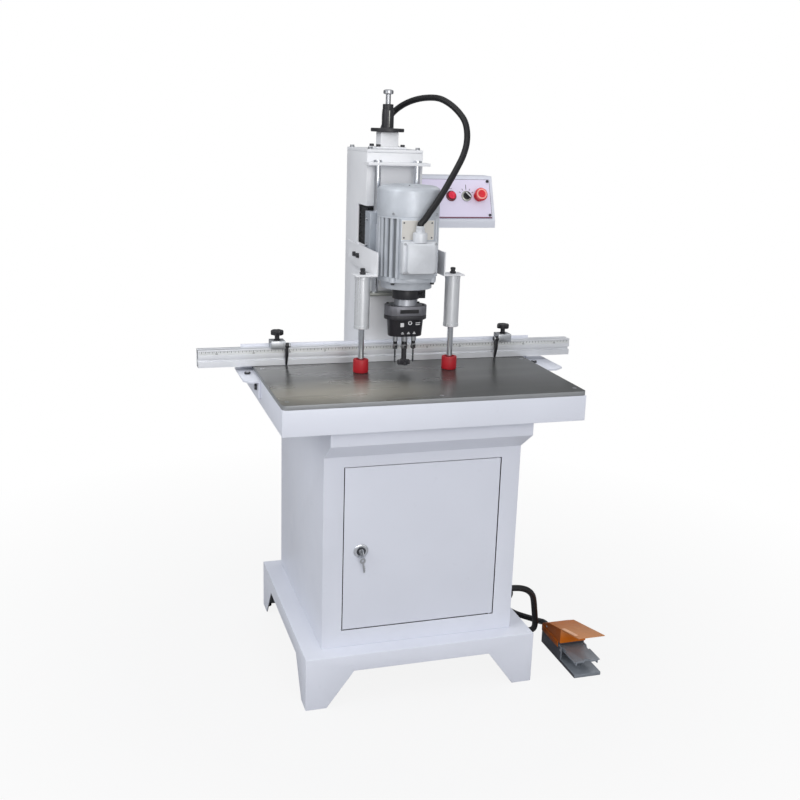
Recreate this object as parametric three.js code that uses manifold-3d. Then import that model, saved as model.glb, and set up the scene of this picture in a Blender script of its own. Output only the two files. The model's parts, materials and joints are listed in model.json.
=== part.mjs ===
// Vertical boring machine: a sheet-metal cabinet on a plinth carries a table with a fence. A column behind
// the fence carries a motor with a three-spindle drill head, two pneumatic hold-down clamps and a control
// box. A foot pedal stands beside the plinth on its cord.
// Lengths are in millimetres. X runs along the fence, +Y goes to the back and +Z is up. The origin lies on
// the floor under the middle of the machine's outline.

import * as THREE from 'three';
import { mergeVertices } from 'three/addons/utils/BufferGeometryUtils.js';
import Module from 'manifold-3d';

const wasm = await Module();
wasm.setup();

// Fits and facets
const seatGap = 0.3;
const cutRun = 2;
const wideSides = 32;
const midSides = 20;
const slimSides = 12;
const hexSides = 6;

// Overall layout, front to back and upwards
const frontToBack = 706;
const tableFrontY = -frontToBack / 2;
const plinthBackY = frontToBack / 2;
const tableHeight = 860;
const spindleFromFront = 320;
const spindleY = tableFrontY + spindleFromFront;
const fenceFromSpindle = 96;
const fenceFaceY = spindleY + fenceFromSpindle;

// Plinth
const plinthWidth = 650;
const plinthDepth = 650;
const plinthHeight = 148;
const plinthSheet = 4;
const footWidth = 57;
const archInset = 132;
const archHeight = 101;
const plinthFrontY = plinthBackY - plinthDepth;
const plinthMidY = plinthBackY - plinthDepth / 2;

// Table
const tableWidth = 800;
const plateThickness = 12;
const plateCornerRadius = 12;
const plateCornerSteps = 4;
const apronHeight = 67;
const frameSheet = 3;
const frameFlange = 60;
const cableHoleRadius = 30;
const deckZ = tableHeight - plateThickness;
const apronBottomZ = deckZ - apronHeight;

// Cabinet
const cabinetWidth = 544;
const cabinetDepth = 575;
const cabinetSetback = 50;
const cabinetSheet = 3;
const collarReach = 71;
const collarHeight = 44;
const collarSlopeHeight = 50;
const cabinetFrontY = plinthFrontY + cabinetSetback;
const cabinetBackY = cabinetFrontY + cabinetDepth;
const cabinetBottomZ = plinthHeight + seatGap;
const cabinetTopZ = apronBottomZ - seatGap;
const collarFrontY = cabinetFrontY - collarReach;
const collarLowZ = apronBottomZ - collarHeight;
const frontTopZ = collarLowZ - collarSlopeHeight;

// Door with its pivot pins, lock and key
const doorWidth = 432;
const doorHeight = 457;
const doorBottomZ = 199;
const doorDepth = 18;
const doorSheet = 3;
const doorGap = 2;
const pivotInset = 8;
const pivotDepth = 4;
const pivotRadius = 2.5;
const pivotReach = 8;
const lugDepth = 12;
const lockInset = 47;
const lockHeightShare = 0.49;
const lockFlangeRadius = 20;
const lockFlangeThickness = 4;
const lockBarrelRadius = 13;
const keyPlugRadius = 6;
const keyPlugNose = 2;
const keyBowReach = 22;
const keyBowHeight = 22;
const keyThickness = 2.4;
const camLength = 55;
const camWidth = 14;
const camThickness = 3;
const doorTopZ = doorBottomZ + doorHeight;
const pivotX = doorWidth / 2 - pivotInset;
const pivotY = cabinetFrontY + pivotDepth;
const lockX = -doorWidth / 2 + lockInset;
const lockZ = doorBottomZ + doorHeight * lockHeightShare;

// Mounting plate with the contactor and the air valve, on the cabinet's back wall
const electricsWidth = 300;
const electricsHeight = 320;
const electricsPlateThickness = 3;
const electricsFloorRise = 200;
const contactorWidth = 60;
const contactorDepth = 75;
const contactorHeight = 85;
const valveWidth = 120;
const valveDepth = 45;
const valveHeight = 60;

// Fence with its backing beam and side brackets
const fenceLength = 1100;
const fenceDepth = 35;
const fenceHeight = 48;
const fenceSlotWidth = 8;
const fenceSlotDepth = 7;
const fenceSlotSetback = 18;
const scaleBandHeight = 10;
const scaleBandDrop = 4;
const scaleBandDepth = 1.5;
const grooveHeight = 8;
const grooveDepth = 9;
const grooveRise = 16;
const chamberWall = 3;
const beamLength = 860;
const beamThickness = 4;
const beamHeight = 67;
const bracketReachLeft = 44;
const bracketReachRight = 82;
const bracketLength = 170;
const bracketThickness = 6;
const bracketDrop = 48;
const bracketFrontGap = 119;
const bracketChamferShares = [0.32, 0.12];
const bracketBoltRadius = 8;
const bracketBoltHeight = 5;
const bracketBoltSetback = 34;
const fenceBackY = fenceFaceY + fenceDepth;
const fenceBottomZ = tableHeight + seatGap;
const fenceTopZ = fenceBottomZ + fenceHeight;
const fenceSlotY = fenceFaceY + fenceSlotSetback;
const bracketFrontY = fenceFaceY - bracketFrontGap;

// Fence stops: a block on the rail's slot, a clamping knob and a blade that flips up
const stopX = 334;
const stopBlockLength = 40;
const stopBlockDepth = 40;
const stopBlockHeight = 22;
const stopOverhang = 15;
const stopKeyHeight = 6;
const stopPinRadius = 4;
const stopPinInset = 6;
const stopPinHeight = 9;
const stopPinHeadRadius = 7;
const stopPinHeadLength = 4;
const bladeThickness = 8;
const bladeHubRadius = 7.5;
const bladeTipGap = 1.5;
const bladeFaceGap = 1;
const bladeRootDepth = 13;
const bladeTipDepth = 6;
const knobRadius = 17.5;
const knobHeight = 13;
const knobNotchRadius = 5;
const knobNotches = 6;
const knobStemRadius = 7;
const knobRise = 15;
const knobScrewRadius = 4;
const knobScrewLength = 16;

// Column and its cap
const columnWidth = 160;
const columnDepth = 222;
const columnHeight = 588;
const columnWall = 5;
const columnBaseThickness = 8;
const columnFromFence = 40;
const capThickness = 8;
const windowHeight = 108;
const windowDepth = 86;
const windowBottomRise = 336;
const capBoltRadius = 6;
const capBoltHeight = 6;
const capBoltInset = 12;
const capGlandRadius = 13;
const capGlandBore = 6;
const capGlandHeight = 22;
const capGlandInset = 52;
const capGlandSide = 8;
const columnFrontY = fenceFaceY + columnFromFence;
const columnBackY = columnFrontY + columnDepth;
const columnBottomZ = deckZ + seatGap;
const columnTopZ = columnBottomZ + columnHeight;
const capBottomZ = columnTopZ + seatGap;
const capTopZ = capBottomZ + capThickness;
const windowBottomZ = columnBottomZ + windowBottomRise;
const capGlandY = columnBackY - capGlandInset;
const capGlandTopZ = capTopZ + capGlandHeight;

// Feed cylinder, its through rod and the depth stop on top
const barrelWidth = 51;
const barrelHang = 146;
const barrelRise = 46;
const barrelEnd = 8;
const barrelBoreRadius = 20;
const barrelSetback = 83;
const flangeWidth = 86;
const flangeThickness = 6;
const flangeBoltSpacing = 70;
const feedRodRadius = 7;
const pistonHeight = 12;
const stopDiscRadius = 47;
const stopDiscThickness = 10;
const sleeveLowRadius = 17;
const sleeveHighRadius = 15;
const sleeveLowHeight = 50;
const sleeveHighHeight = 15;
const sleeveSlotWidth = 5;
const nutGap = 27;
const nutRadius = 14;
const nutHeight = 12;
const feedY = columnFrontY + barrelSetback;
const barrelTopZ = capTopZ + barrelRise;
const barrelBottomZ = capTopZ - barrelHang;
const stopDiscBottomZ = barrelTopZ + seatGap;
const sleeveBottomZ = stopDiscBottomZ + stopDiscThickness;
const sleeveTopZ = sleeveBottomZ + sleeveLowHeight + sleeveHighHeight;
const nutBottomZ = sleeveTopZ + nutGap;

// Guide rods and their end plates, in front of the column
const guideSpacing = 112;
const guideRadius = 9;
const guideStandoff = 25;
const rodPlateWidth = 176;
const lowPlateWidth = 150;
const rodPlateDepth = 45;
const rodPlateThickness = 8;
const rodHeadRadius = 12;
const rodHeadHeight = 6;
const upperPlateDrop = 41;
const guideSpan = 355;
const guideY = columnFrontY - guideStandoff;
const upperPlateZ = capTopZ - upperPlateDrop;
const lowerPlateZ = upperPlateZ - guideSpan;

// Carriage on the guide rods
const carriageWidth = 164;
const carriageHeight = 110;
const carriageBackGap = 0.5;
const carriageDepth = 50;
const carriageRise = 310;
const carriageBottomZ = tableHeight + carriageRise;
const carriageArmWidth = 44;
const carriageArmHeight = 38;
const carriageArmRise = 22;
const carriageArmPast = 20;
const carriageBackY = columnFrontY - carriageBackGap;
const carriageFrontY = carriageBackY - carriageDepth;
const armBottomZ = carriageBottomZ + carriageArmRise;
const armTopZ = armBottomZ + carriageArmHeight;
const rodSocketDepth = 30;

// Motor
const motorRadius = 83;
const finDepth = 9;
const finCount = 28;
const finShares = [0, 0.38, 0.46, 0.92];
const motorBoreRadius = 52;
const motorRise = 262;
const motorBottomZ = tableHeight + motorRise;
const motorBodyHeight = 154;
const motorFootWidth = 130;
const motorFootHeight = 100;
const motorFootRise = 26;
const nameplateWidth = 90;
const nameplateReach = 3;
const cowlHeight = 86;
const cowlSkin = 3;
const cowlShoulderShare = 0.83;
const cowlEdgeShare = 0.94;
const cowlCrownShare = 0.89;
const endBellRadius = 69;
const endBellHeight = 20;
const endFlangeRadius = 80;
const endFlangeHeight = 13;
const endNoseRadius = 36;
const endNoseHeight = 4;
const endLugRadius = 9;
const endLugCircle = 78;
const endLugCount = 4;
const shaftRadius = 10;
const rotorRadius = 50;
const rotorHeight = 115;
const rotorRise = 14;
const fanRadius = 64;
const fanDiscHeight = 4;
const fanRise = 14;
const fanBladeHeight = 20;
const fanBladeThickness = 4;
const fanBladeCount = 6;
const shaftTopAboveFan = 10;
const motorTopZ = motorBottomZ + motorBodyHeight;
const cowlBottomZ = motorTopZ + seatGap;
const endFlangeTopZ = motorBottomZ - seatGap;
const endBellTopZ = endFlangeTopZ - endFlangeHeight;
const endBellBottomZ = endBellTopZ - endBellHeight;
const endNoseBottomZ = endBellBottomZ - endNoseHeight;

// Terminal box on the motor's front, with the conduit's gland on top
const terminalWidth = 94;
const terminalHeight = 85;
const terminalDepth = 42;
const terminalRise = 15;
const terminalCorner = 8;
const terminalBossRadius = 19;
const terminalBossHeight = 23;
const terminalGlandRadius = 11;
const terminalGlandHeight = 17;
const terminalGlandSetback = 22.5;
const terminalBackY = spindleY - motorRadius - nameplateReach - seatGap;
const terminalFrontY = terminalBackY - terminalDepth;
const terminalBottomZ = motorBottomZ + terminalRise;
const terminalTopZ = terminalBottomZ + terminalHeight;
const terminalGlandY = terminalFrontY + terminalGlandSetback;
const terminalGlandTopZ = terminalTopZ + terminalBossHeight + terminalGlandHeight;

// Drill head: clamp ring, cover with its neck, housing, three geared spindles
const neckRadius = 31;
const ringRadius = 37;
const ringHeight = 26;
const ringLugReach = 15;
const ringLugWidth = 26;
const ringSlit = 3;
const headHalfLength = 59;
const headHalfDepth = 40;
const coverThickness = 26;
const coverRise = 154;
const coverBottomZ = tableHeight + coverRise;
const bandHeight = 11;
const taperInset = 8;
const taperDraft = 4;
const housingHeight = 58;
const pocketHalfLength = 44;
const pocketHalfDepth = 26;
const pocketDepth = 40;
const headOutlineSteps = 8;
const spindleSpacing = 26;
const gearTeeth = 16;
const gearAddendum = 1.3;
const gearDedendum = 1.8;
const gearHeight = 14;
const gearFloorGap = 10;
const toothShares = [0.14, 0.36, 0.64, 0.86];
const centreShaftRadius = 7;
const sideShaftRadius = 5;
const sideShaftSeat = 15;
const chuckHeight = 36;
const chuckGap = 2;
const centreChuckRadius = 9;
const sideChuckRadius = 7;
const sideDrillRadius = 2.5;
const sideDrillLength = 39;
const bitShankRadius = 5;
const bitShankLength = 22;
const bitBodyRadius = 7;
const bitBodyLength = 31;
const cutterRadius = 17.5;
const cutterHeight = 14;
const coverTopZ = coverBottomZ + coverThickness;
const housingTopZ = coverBottomZ - seatGap;
const housingBottomZ = housingTopZ - housingHeight;
const pocketFloorZ = housingTopZ - pocketDepth;
const gearBottomZ = pocketFloorZ + gearFloorGap;
const neckTopZ = endNoseBottomZ - seatGap;
const ringTopZ = neckTopZ - seatGap;
const chuckTopZ = housingBottomZ - chuckGap;
const chuckBottomZ = chuckTopZ - chuckHeight;
const shaftBottomZ = coverTopZ + seatGap;

// Hold-down clamps
const clampSpacing = 254;
const clampFromSpindle = 17;
const clampBarrelRadius = 20;
const clampCapRadius = 21.5;
const clampCapHeight = 9;
const clampBarrelHeight = 141;
const clampBoreRadius = 16;
const clampWall = 6;
const clampRodRadius = 8;
const clampPistonHeight = 10;
const clampPistonLift = 5;
const padRadius = 21;
const padHeight = 36;
const padSocketDepth = 12;
const clampPlateX = 92;
const clampPlateThickness = 4;
const clampPlateLength = 309;
const clampPlateGrip = 130;
const clampPlateHeight = 64;
const clampTabLength = 50;
const clampTabMargin = 25;
const clampPadDepth = 95;
const clampPadHeight = 50;
const clampPadDrop = 6;
const clampBoltSpacing = 51;
const clampBoltRadius = 6.5;
const clampBoltHeight = 7;
const fittingRadius = 6;
const fittingHeight = 17;
const clampY = spindleY - clampFromSpindle;
const clampX = clampSpacing / 2;
const clampTabOuterX = clampX + clampTabMargin;
const clampTabRise = 262;
const clampTabZ = tableHeight + clampTabRise;
const clampBarrelTopZ = clampTabZ - seatGap;
const clampBarrelBottomZ = clampBarrelTopZ - clampBarrelHeight;
const clampPlateBackY = columnFrontY + clampPlateGrip;
const clampPlateFrontY = clampPlateBackY - clampPlateLength;
const padBottomZ = tableHeight + seatGap;

// Control box with a sloping panel on the column's right side
const boxWidth = 238;
const boxDepth = 110;
const boxHeight = 144;
const boxRise = 370;
const boxBottomZ = tableHeight + boxRise;
const boxSetback = 30;
const boxWall = 2;
const boxBandHeight = 28;
const panelLean = 47;
const panelRise = 114;
const boxCableRadius = 8;
const boxCableInset = 30;
const panelThickness = 2;
const panelMarginX = 5;
const panelMarginZ = 4;
const controlCount = 4;
const controlPitch = 46.5;
const controlFirst = 61;
const controlRiseShare = 0.52;
const bezelRadius = 14;
const bezelHeight = 4;
const buttonRadius = 11;
const buttonStand = 4;
const buttonHeight = 3;
const buttonStemRadius = 6;
const buttonStemLength = 16;
const selectorRadius = 11;
const selectorHeight = 5;
const selectorGripWidth = 7;
const selectorGripHeight = 9;
const mushroomRadius = 19;
const mushroomHeight = 10;
const mushroomStand = 11;
const mushroomCrown = 4;
const boxLeftX = columnWidth / 2 + seatGap;
const boxRightX = boxLeftX + boxWidth;
const boxFrontY = columnFrontY + boxSetback;
const panelFootZ = boxBottomZ + boxBandHeight;
const panelTilt = Math.atan2(panelLean, panelRise);
const panelSlope = Math.hypot(panelLean, panelRise);

// Foot pedal
const pedalX = 493.5;
const pedalWidth = 83;
const pedalLength = 224;
const pedalBackY = -94;
const pedalPlateThickness = 10;
const pedalSheet = 3;
const housingLength = 112;
const pedalHousingHeight = 56;
const guardSkin = 3;
const guardRearHeight = 62;
const guardShoulderHeight = 84;
const guardFaceHeight = 100;
const guardTipHeight = 129;
const guardShoulderSetback = 42;
const guardFaceSetback = 121;
const guardTipSetback = 230;
const treadleInset = 4;
const treadleLength = 103;
const treadleThickness = 6;
const treadleSkirt = 12;
const treadleTopZ = 47;
const treadlePinRadius = 4;
const treadleEarThickness = 5;
const treadleEarLength = 18;
const treadlePinDrop = 8;
const cordEntryZ = 46;
const cordEntrySide = -20;
const cordEntryX = pedalX + cordEntrySide;
const pedalFrontY = pedalBackY - pedalLength;
const housingFrontY = pedalBackY - housingLength;
const treadlePinY = housingFrontY - treadleEarLength / 2;
const treadlePinZ = treadleTopZ - treadlePinDrop;

// Pedal cord and motor conduit
const cordRadius = 9;
const cordSides = 8;
const cordSteps = 60;
const glandSleeveWall = 1.5;
const glandY = -172;
const glandZ = 229;
const glandReach = 26;
const glandSleeveRadius = cordRadius + glandSleeveWall;
const glandNutRadius = 13;
const glandNutLength = 14;
const glandThreadRadius = 9;
const glandThreadLength = 10;
const conduitRadius = 8.5;
const conduitSides = 10;
const conduitSteps = 40;
const conduitReach = 164;
const conduitRise = 119;
const conduitLead = 12;
const conduitShares = [
  [0.05, 0.012, 0.38],
  [0.15, 0.061, 0.64],
  [0.27, 0.124, 0.82],
  [0.41, 0.197, 0.94],
  [0.56, 0.284, 1.0],
  [0.71, 0.381, 0.99],
  [0.82, 0.454, 0.89],
  [0.92, 0.527, 0.72],
  [0.99, 0.59, 0.51],
  [1.0, 0.634, 0.29],
  [0.96, 0.682, 0.03],
  [0.85, 0.746, -0.24],
  [0.7, 0.804, -0.51],
  [0.55, 0.855, -0.76],
  [0.39, 0.906, -1.01],
  [0.23, 0.949, -1.23],
  [0.1, 0.979, -1.39],
  [-0.01, 0.996, -1.52],
];

// Paint, metal and plastic
const cream = { color: 0xe6e8ee, roughness: 0.42, metalness: 0 };
const steel = { color: 0xc9ccd0, roughness: 0.28, metalness: 0.9 };
const aluminium = { color: 0xd4d7da, roughness: 0.35, metalness: 0.85 };
const castGrey = { color: 0xb3b9c0, roughness: 0.55, metalness: 0.2 };
const tableGrey = { color: 0x6f7274, roughness: 0.4, metalness: 0.15 };
const carriageGrey = { color: 0x9aa7b3, roughness: 0.5, metalness: 0.3 };
const blackPlastic = { color: 0x1b1c1f, roughness: 0.5, metalness: 0 };
const blackRubber = { color: 0x17181a, roughness: 0.75, metalness: 0 };
const clampRed = { color: 0xc2202a, roughness: 0.6, metalness: 0 };
const buttonRed = { color: 0xd02430, roughness: 0.4, metalness: 0 };
const buttonGreen = { color: 0x1f8a4c, roughness: 0.4, metalness: 0 };
const guardOrange = { color: 0xe07a1a, roughness: 0.5, metalness: 0.1 };
const pedalGrey = { color: 0x7b8288, roughness: 0.55, metalness: 0.3 };

// Closed solids as plain geometries, placed by their bounds
function block(x0, x1, y0, y1, z0, z1) {
  const geometry = new THREE.BoxGeometry(x1 - x0, y1 - y0, z1 - z0);
  return geometry.translate((x0 + x1) / 2, (y0 + y1) / 2, (z0 + z1) / 2);
}

function post(radius, z0, z1, x, y, sides) {
  const geometry = new THREE.CylinderGeometry(radius, radius, z1 - z0, sides);
  return geometry.rotateX(Math.PI / 2).translate(x, y, (z0 + z1) / 2);
}

function rodAlongX(radius, x0, x1, y, z, sides) {
  const geometry = new THREE.CylinderGeometry(radius, radius, x1 - x0, sides);
  return geometry.rotateZ(Math.PI / 2).translate((x0 + x1) / 2, y, z);
}

function rodAlongY(radius, y0, y1, x, z, sides) {
  return new THREE.CylinderGeometry(radius, radius, y1 - y0, sides).translate(x, (y0 + y1) / 2, z);
}

function outlineShape(points) {
  return new THREE.Shape(points.map(([a, b]) => new THREE.Vector2(a, b)));
}

function prismAlongZ(points, z0, z1) {
  const options = { depth: z1 - z0, bevelEnabled: false };
  return new THREE.ExtrudeGeometry(outlineShape(points), options).translate(0, 0, z0);
}

// Points are pairs of Y and Z
function prismAlongX(points, x0, x1) {
  const options = { depth: x1 - x0, bevelEnabled: false };
  const geometry = new THREE.ExtrudeGeometry(outlineShape(points), options);
  const turn = new THREE.Matrix4().makeBasis(
    new THREE.Vector3(0, 1, 0), new THREE.Vector3(0, 0, 1), new THREE.Vector3(1, 0, 0));
  return geometry.applyMatrix4(turn).translate(x0, 0, 0);
}

// Points are pairs of X and Z
function prismAlongY(points, y0, y1) {
  const options = { depth: y1 - y0, bevelEnabled: false };
  const geometry = new THREE.ExtrudeGeometry(outlineShape(points), options);
  const turn = new THREE.Matrix4().makeBasis(
    new THREE.Vector3(1, 0, 0), new THREE.Vector3(0, 0, 1), new THREE.Vector3(0, -1, 0));
  return geometry.applyMatrix4(turn).translate(0, y1, 0);
}

// The profile is a list of radius and height pairs, and the axis stands at x, y
function turned(profile, x, y, sides) {
  const points = profile.map(([radius, height]) => new THREE.Vector2(radius, height));
  return new THREE.LatheGeometry(points, sides).rotateX(Math.PI / 2).translate(x, y, 0);
}

function tube(points, radius, sides, steps) {
  const section = new THREE.Shape();
  for (let i = 0; i < sides; i += 1) {
    const angle = (i * 2 * Math.PI) / sides;
    const corner = [radius * Math.cos(angle), radius * Math.sin(angle)];
    if (i === 0) section.moveTo(...corner);
    else section.lineTo(...corner);
  }
  const path = new THREE.CatmullRomCurve3(points.map((point) => new THREE.Vector3(...point)));
  return new THREE.ExtrudeGeometry(section, { steps, bevelEnabled: false, extrudePath: path });
}

function toManifold(geometry) {
  const bare = geometry.clone();
  bare.deleteAttribute('normal');
  bare.deleteAttribute('uv');
  const merged = mergeVertices(bare);
  return new wasm.Manifold(new wasm.Mesh({
    numProp: 3,
    vertProperties: new Float32Array(merged.attributes.position.array),
    triVerts: new Uint32Array(merged.index.array),
  }));
}

function toGeometry(solid) {
  const mesh = solid.getMesh();
  const geometry = new THREE.BufferGeometry();
  geometry.setAttribute('position', new THREE.BufferAttribute(mesh.vertProperties, mesh.numProp));
  geometry.setIndex(new THREE.BufferAttribute(mesh.triVerts, 1));
  return geometry;
}

function join(first, ...others) {
  return toGeometry(others.reduce((sum, other) => sum.add(toManifold(other)), toManifold(first)));
}

function cut(base, ...tools) {
  return toGeometry(tools.reduce((left, tool) => left.subtract(toManifold(tool)), toManifold(base)));
}

const machine = new THREE.Group();

function addPart(name, geometry, look, parent = machine) {
  const mesh = new THREE.Mesh(geometry, new THREE.MeshStandardMaterial(look));
  mesh.name = name;
  parent.add(mesh);
  return mesh;
}

// Plinth: a folded tray with an arch through each pair of sides
function archOutline(span) {
  const footEdge = span / 2 - footWidth;
  const archEdge = span / 2 - archInset;
  const runOut = ((footEdge - archEdge) * cutRun) / archHeight;
  return [
    [-footEdge - runOut, -cutRun],
    [-archEdge, archHeight],
    [archEdge, archHeight],
    [footEdge + runOut, -cutRun],
  ];
}

function makePlinth() {
  const halfWidth = plinthWidth / 2;
  const halfDepth = plinthDepth / 2;
  const shell = cut(
    block(-halfWidth, halfWidth, plinthFrontY, plinthBackY, 0, plinthHeight),
    block(-halfWidth + plinthSheet, halfWidth - plinthSheet,
      plinthFrontY + plinthSheet, plinthBackY - plinthSheet, -cutRun, plinthHeight - plinthSheet),
    prismAlongY(archOutline(plinthWidth), plinthFrontY - cutRun, plinthBackY + cutRun),
    prismAlongX(archOutline(plinthDepth), -halfWidth - cutRun, halfWidth + cutRun)
      .translate(0, plinthFrontY + halfDepth, 0),
    post(cableHoleRadius, 0, plinthHeight + cutRun, 0, plinthMidY, midSides),
  );
  addPart('plinth', shell, cream);
}

// Cabinet: a folded shell whose front leans out into a collar under the table
function makeCabinet() {
  const half = cabinetWidth / 2;
  const skin = cabinetSheet;
  const outer = [
    [cabinetBackY, cabinetBottomZ],
    [cabinetFrontY, cabinetBottomZ],
    [cabinetFrontY, frontTopZ],
    [collarFrontY, collarLowZ],
    [collarFrontY, cabinetTopZ],
    [cabinetBackY, cabinetTopZ],
  ];
  const inner = [
    [cabinetBackY - skin, cabinetBottomZ + skin],
    [cabinetFrontY + skin, cabinetBottomZ + skin],
    [cabinetFrontY + skin, frontTopZ],
    [collarFrontY + skin, collarLowZ],
    [collarFrontY + skin, cabinetTopZ - skin],
    [cabinetBackY - skin, cabinetTopZ - skin],
  ];
  const lug = (z0, z1) => block(pivotX - pivotInset, pivotX + pivotInset,
    cabinetFrontY + skin / 2, cabinetFrontY + lugDepth, z0, z1);
  const openTopZ = doorTopZ + doorGap;
  const openBottomZ = doorBottomZ - doorGap;
  const openHalf = doorWidth / 2 + doorGap;
  const shell = cut(
    prismAlongX(outer, -half, half),
    prismAlongX(inner, -half + skin, half - skin),
    block(-openHalf, openHalf, cabinetFrontY - cutRun, cabinetFrontY + skin + cutRun, openBottomZ, openTopZ),
    post(cableHoleRadius, cabinetBottomZ - cutRun, cabinetBottomZ + skin + cutRun, 0, plinthMidY, midSides),
    post(cableHoleRadius, cabinetTopZ - skin - cutRun, cabinetTopZ + cutRun, 0, feedY, midSides),
    rodAlongX(glandThreadRadius + seatGap, half - skin - cutRun, half + cutRun, glandY, glandZ, slimSides),
  );
  const withLugs = join(
    shell,
    lug(openTopZ, openTopZ + pivotReach + cutRun),
    lug(openBottomZ - pivotReach - cutRun, openBottomZ),
  );
  const pinBoreRadius = pivotRadius + seatGap;
  const finished = cut(
    withLugs,
    post(pinBoreRadius, doorTopZ, openTopZ + pivotReach, pivotX, pivotY, slimSides),
    post(pinBoreRadius, openBottomZ - pivotReach, doorBottomZ, pivotX, pivotY, slimSides),
  );
  addPart('cabinet', finished, cream);
}

// Door: a folded tray with a pivot pin above and below, and a lock whose key turns a cam behind it
function makeDoor() {
  const half = doorWidth / 2;
  const backY = cabinetFrontY + doorDepth;
  const barrelBackY = backY - seatGap;
  const tray = cut(
    block(-half, half, cabinetFrontY, backY, doorBottomZ, doorTopZ),
    block(-half + doorSheet, half - doorSheet, cabinetFrontY + doorSheet, backY + cutRun,
      doorBottomZ + doorSheet, doorTopZ - doorSheet),
    rodAlongY(lockBarrelRadius + seatGap, cabinetFrontY - cutRun, cabinetFrontY + doorSheet + cutRun,
      lockX, lockZ, midSides),
  );
  const pinTopZ = doorTopZ + doorGap + pivotReach - seatGap;
  const pinBottomZ = doorBottomZ - doorGap - pivotReach + seatGap;
  addPart('cabinet_door', join(
    tray,
    post(pivotRadius, doorTopZ - doorSheet, pinTopZ, pivotX, pivotY, slimSides),
    post(pivotRadius, pinBottomZ, doorBottomZ + doorSheet, pivotX, pivotY, slimSides),
  ), cream);

  const flangeBackY = cabinetFrontY - seatGap;
  addPart('door_lock', cut(
    join(
      rodAlongY(lockFlangeRadius, flangeBackY - lockFlangeThickness, flangeBackY, lockX, lockZ, midSides),
      rodAlongY(lockBarrelRadius, flangeBackY - lockFlangeThickness, barrelBackY, lockX, lockZ, midSides),
    ),
    rodAlongY(keyPlugRadius + seatGap, flangeBackY - lockFlangeThickness - cutRun, barrelBackY + cutRun,
      lockX, lockZ, slimSides),
  ), steel);

  const plugFrontY = flangeBackY - lockFlangeThickness - keyPlugNose;
  const camFrontY = backY + seatGap;
  addPart('door_key', join(
    rodAlongY(keyPlugRadius, plugFrontY, camFrontY + camThickness, lockX, lockZ, slimSides),
    block(lockX - keyThickness / 2, lockX + keyThickness / 2, plugFrontY - keyBowReach, plugFrontY + cutRun,
      lockZ - keyBowHeight / 2, lockZ + keyBowHeight / 2),
    block(lockX - camWidth / 2, lockX + camWidth / 2, camFrontY, camFrontY + camThickness,
      lockZ - camLength, lockZ + camWidth / 2),
  ), steel);
}

// Mounting plate with contactor and air valve
function makeElectrics() {
  const backY = cabinetBackY - cabinetSheet - seatGap;
  const frontY = backY - electricsPlateThickness;
  const bottomZ = cabinetBottomZ + electricsFloorRise;
  const topZ = bottomZ + electricsHeight;
  const contactorTopZ = topZ - contactorWidth / 2;
  const valveBottomZ = bottomZ + valveHeight / 2;
  addPart('electrics_plate', join(
    block(-electricsWidth / 2, electricsWidth / 2, frontY, backY, bottomZ, topZ),
    block(-contactorWidth, 0, frontY - contactorDepth, frontY + electricsPlateThickness / 2,
      contactorTopZ - contactorHeight, contactorTopZ),
    block(-valveWidth / 2, valveWidth / 2, frontY - valveDepth, frontY + electricsPlateThickness / 2,
      valveBottomZ, valveBottomZ + valveHeight),
  ), castGrey);
}

// Table frame, top plate, fence with its beam and brackets
function makeTable() {
  const half = tableWidth / 2;
  const deckFloorZ = deckZ - frameSheet;
  const openHalf = cabinetWidth / 2 - frameFlange / 2;
  addPart('table_frame', cut(
    block(-half, half, tableFrontY, cabinetBackY, apronBottomZ, deckZ),
    block(-half + frameSheet, half - frameSheet, tableFrontY + frameSheet, cabinetBackY - frameSheet,
      apronBottomZ + frameSheet, deckFloorZ),
    block(-openHalf, openHalf, collarFrontY + frameFlange / 2, cabinetBackY - frameFlange / 2,
      apronBottomZ - cutRun, apronBottomZ + frameSheet + cutRun),
    post(cableHoleRadius, deckFloorZ - cutRun, deckZ + cutRun, 0, feedY, midSides),
  ), cream);

  const corner = (x, sign) => Array.from({ length: plateCornerSteps + 1 }, (_, i) => {
    const angle = (i * Math.PI) / 2 / plateCornerSteps;
    return [
      x - sign * plateCornerRadius * (1 - Math.sin(angle)),
      tableFrontY + plateCornerRadius * (1 - Math.cos(angle)),
    ];
  });
  const plateOutline = [
    [-half, fenceBackY],
    ...corner(-half, -1).reverse(),
    ...corner(half, 1),
    [half, fenceBackY],
  ];
  addPart('table_top', prismAlongZ(plateOutline, deckZ + seatGap, tableHeight), tableGrey);
}

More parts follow.
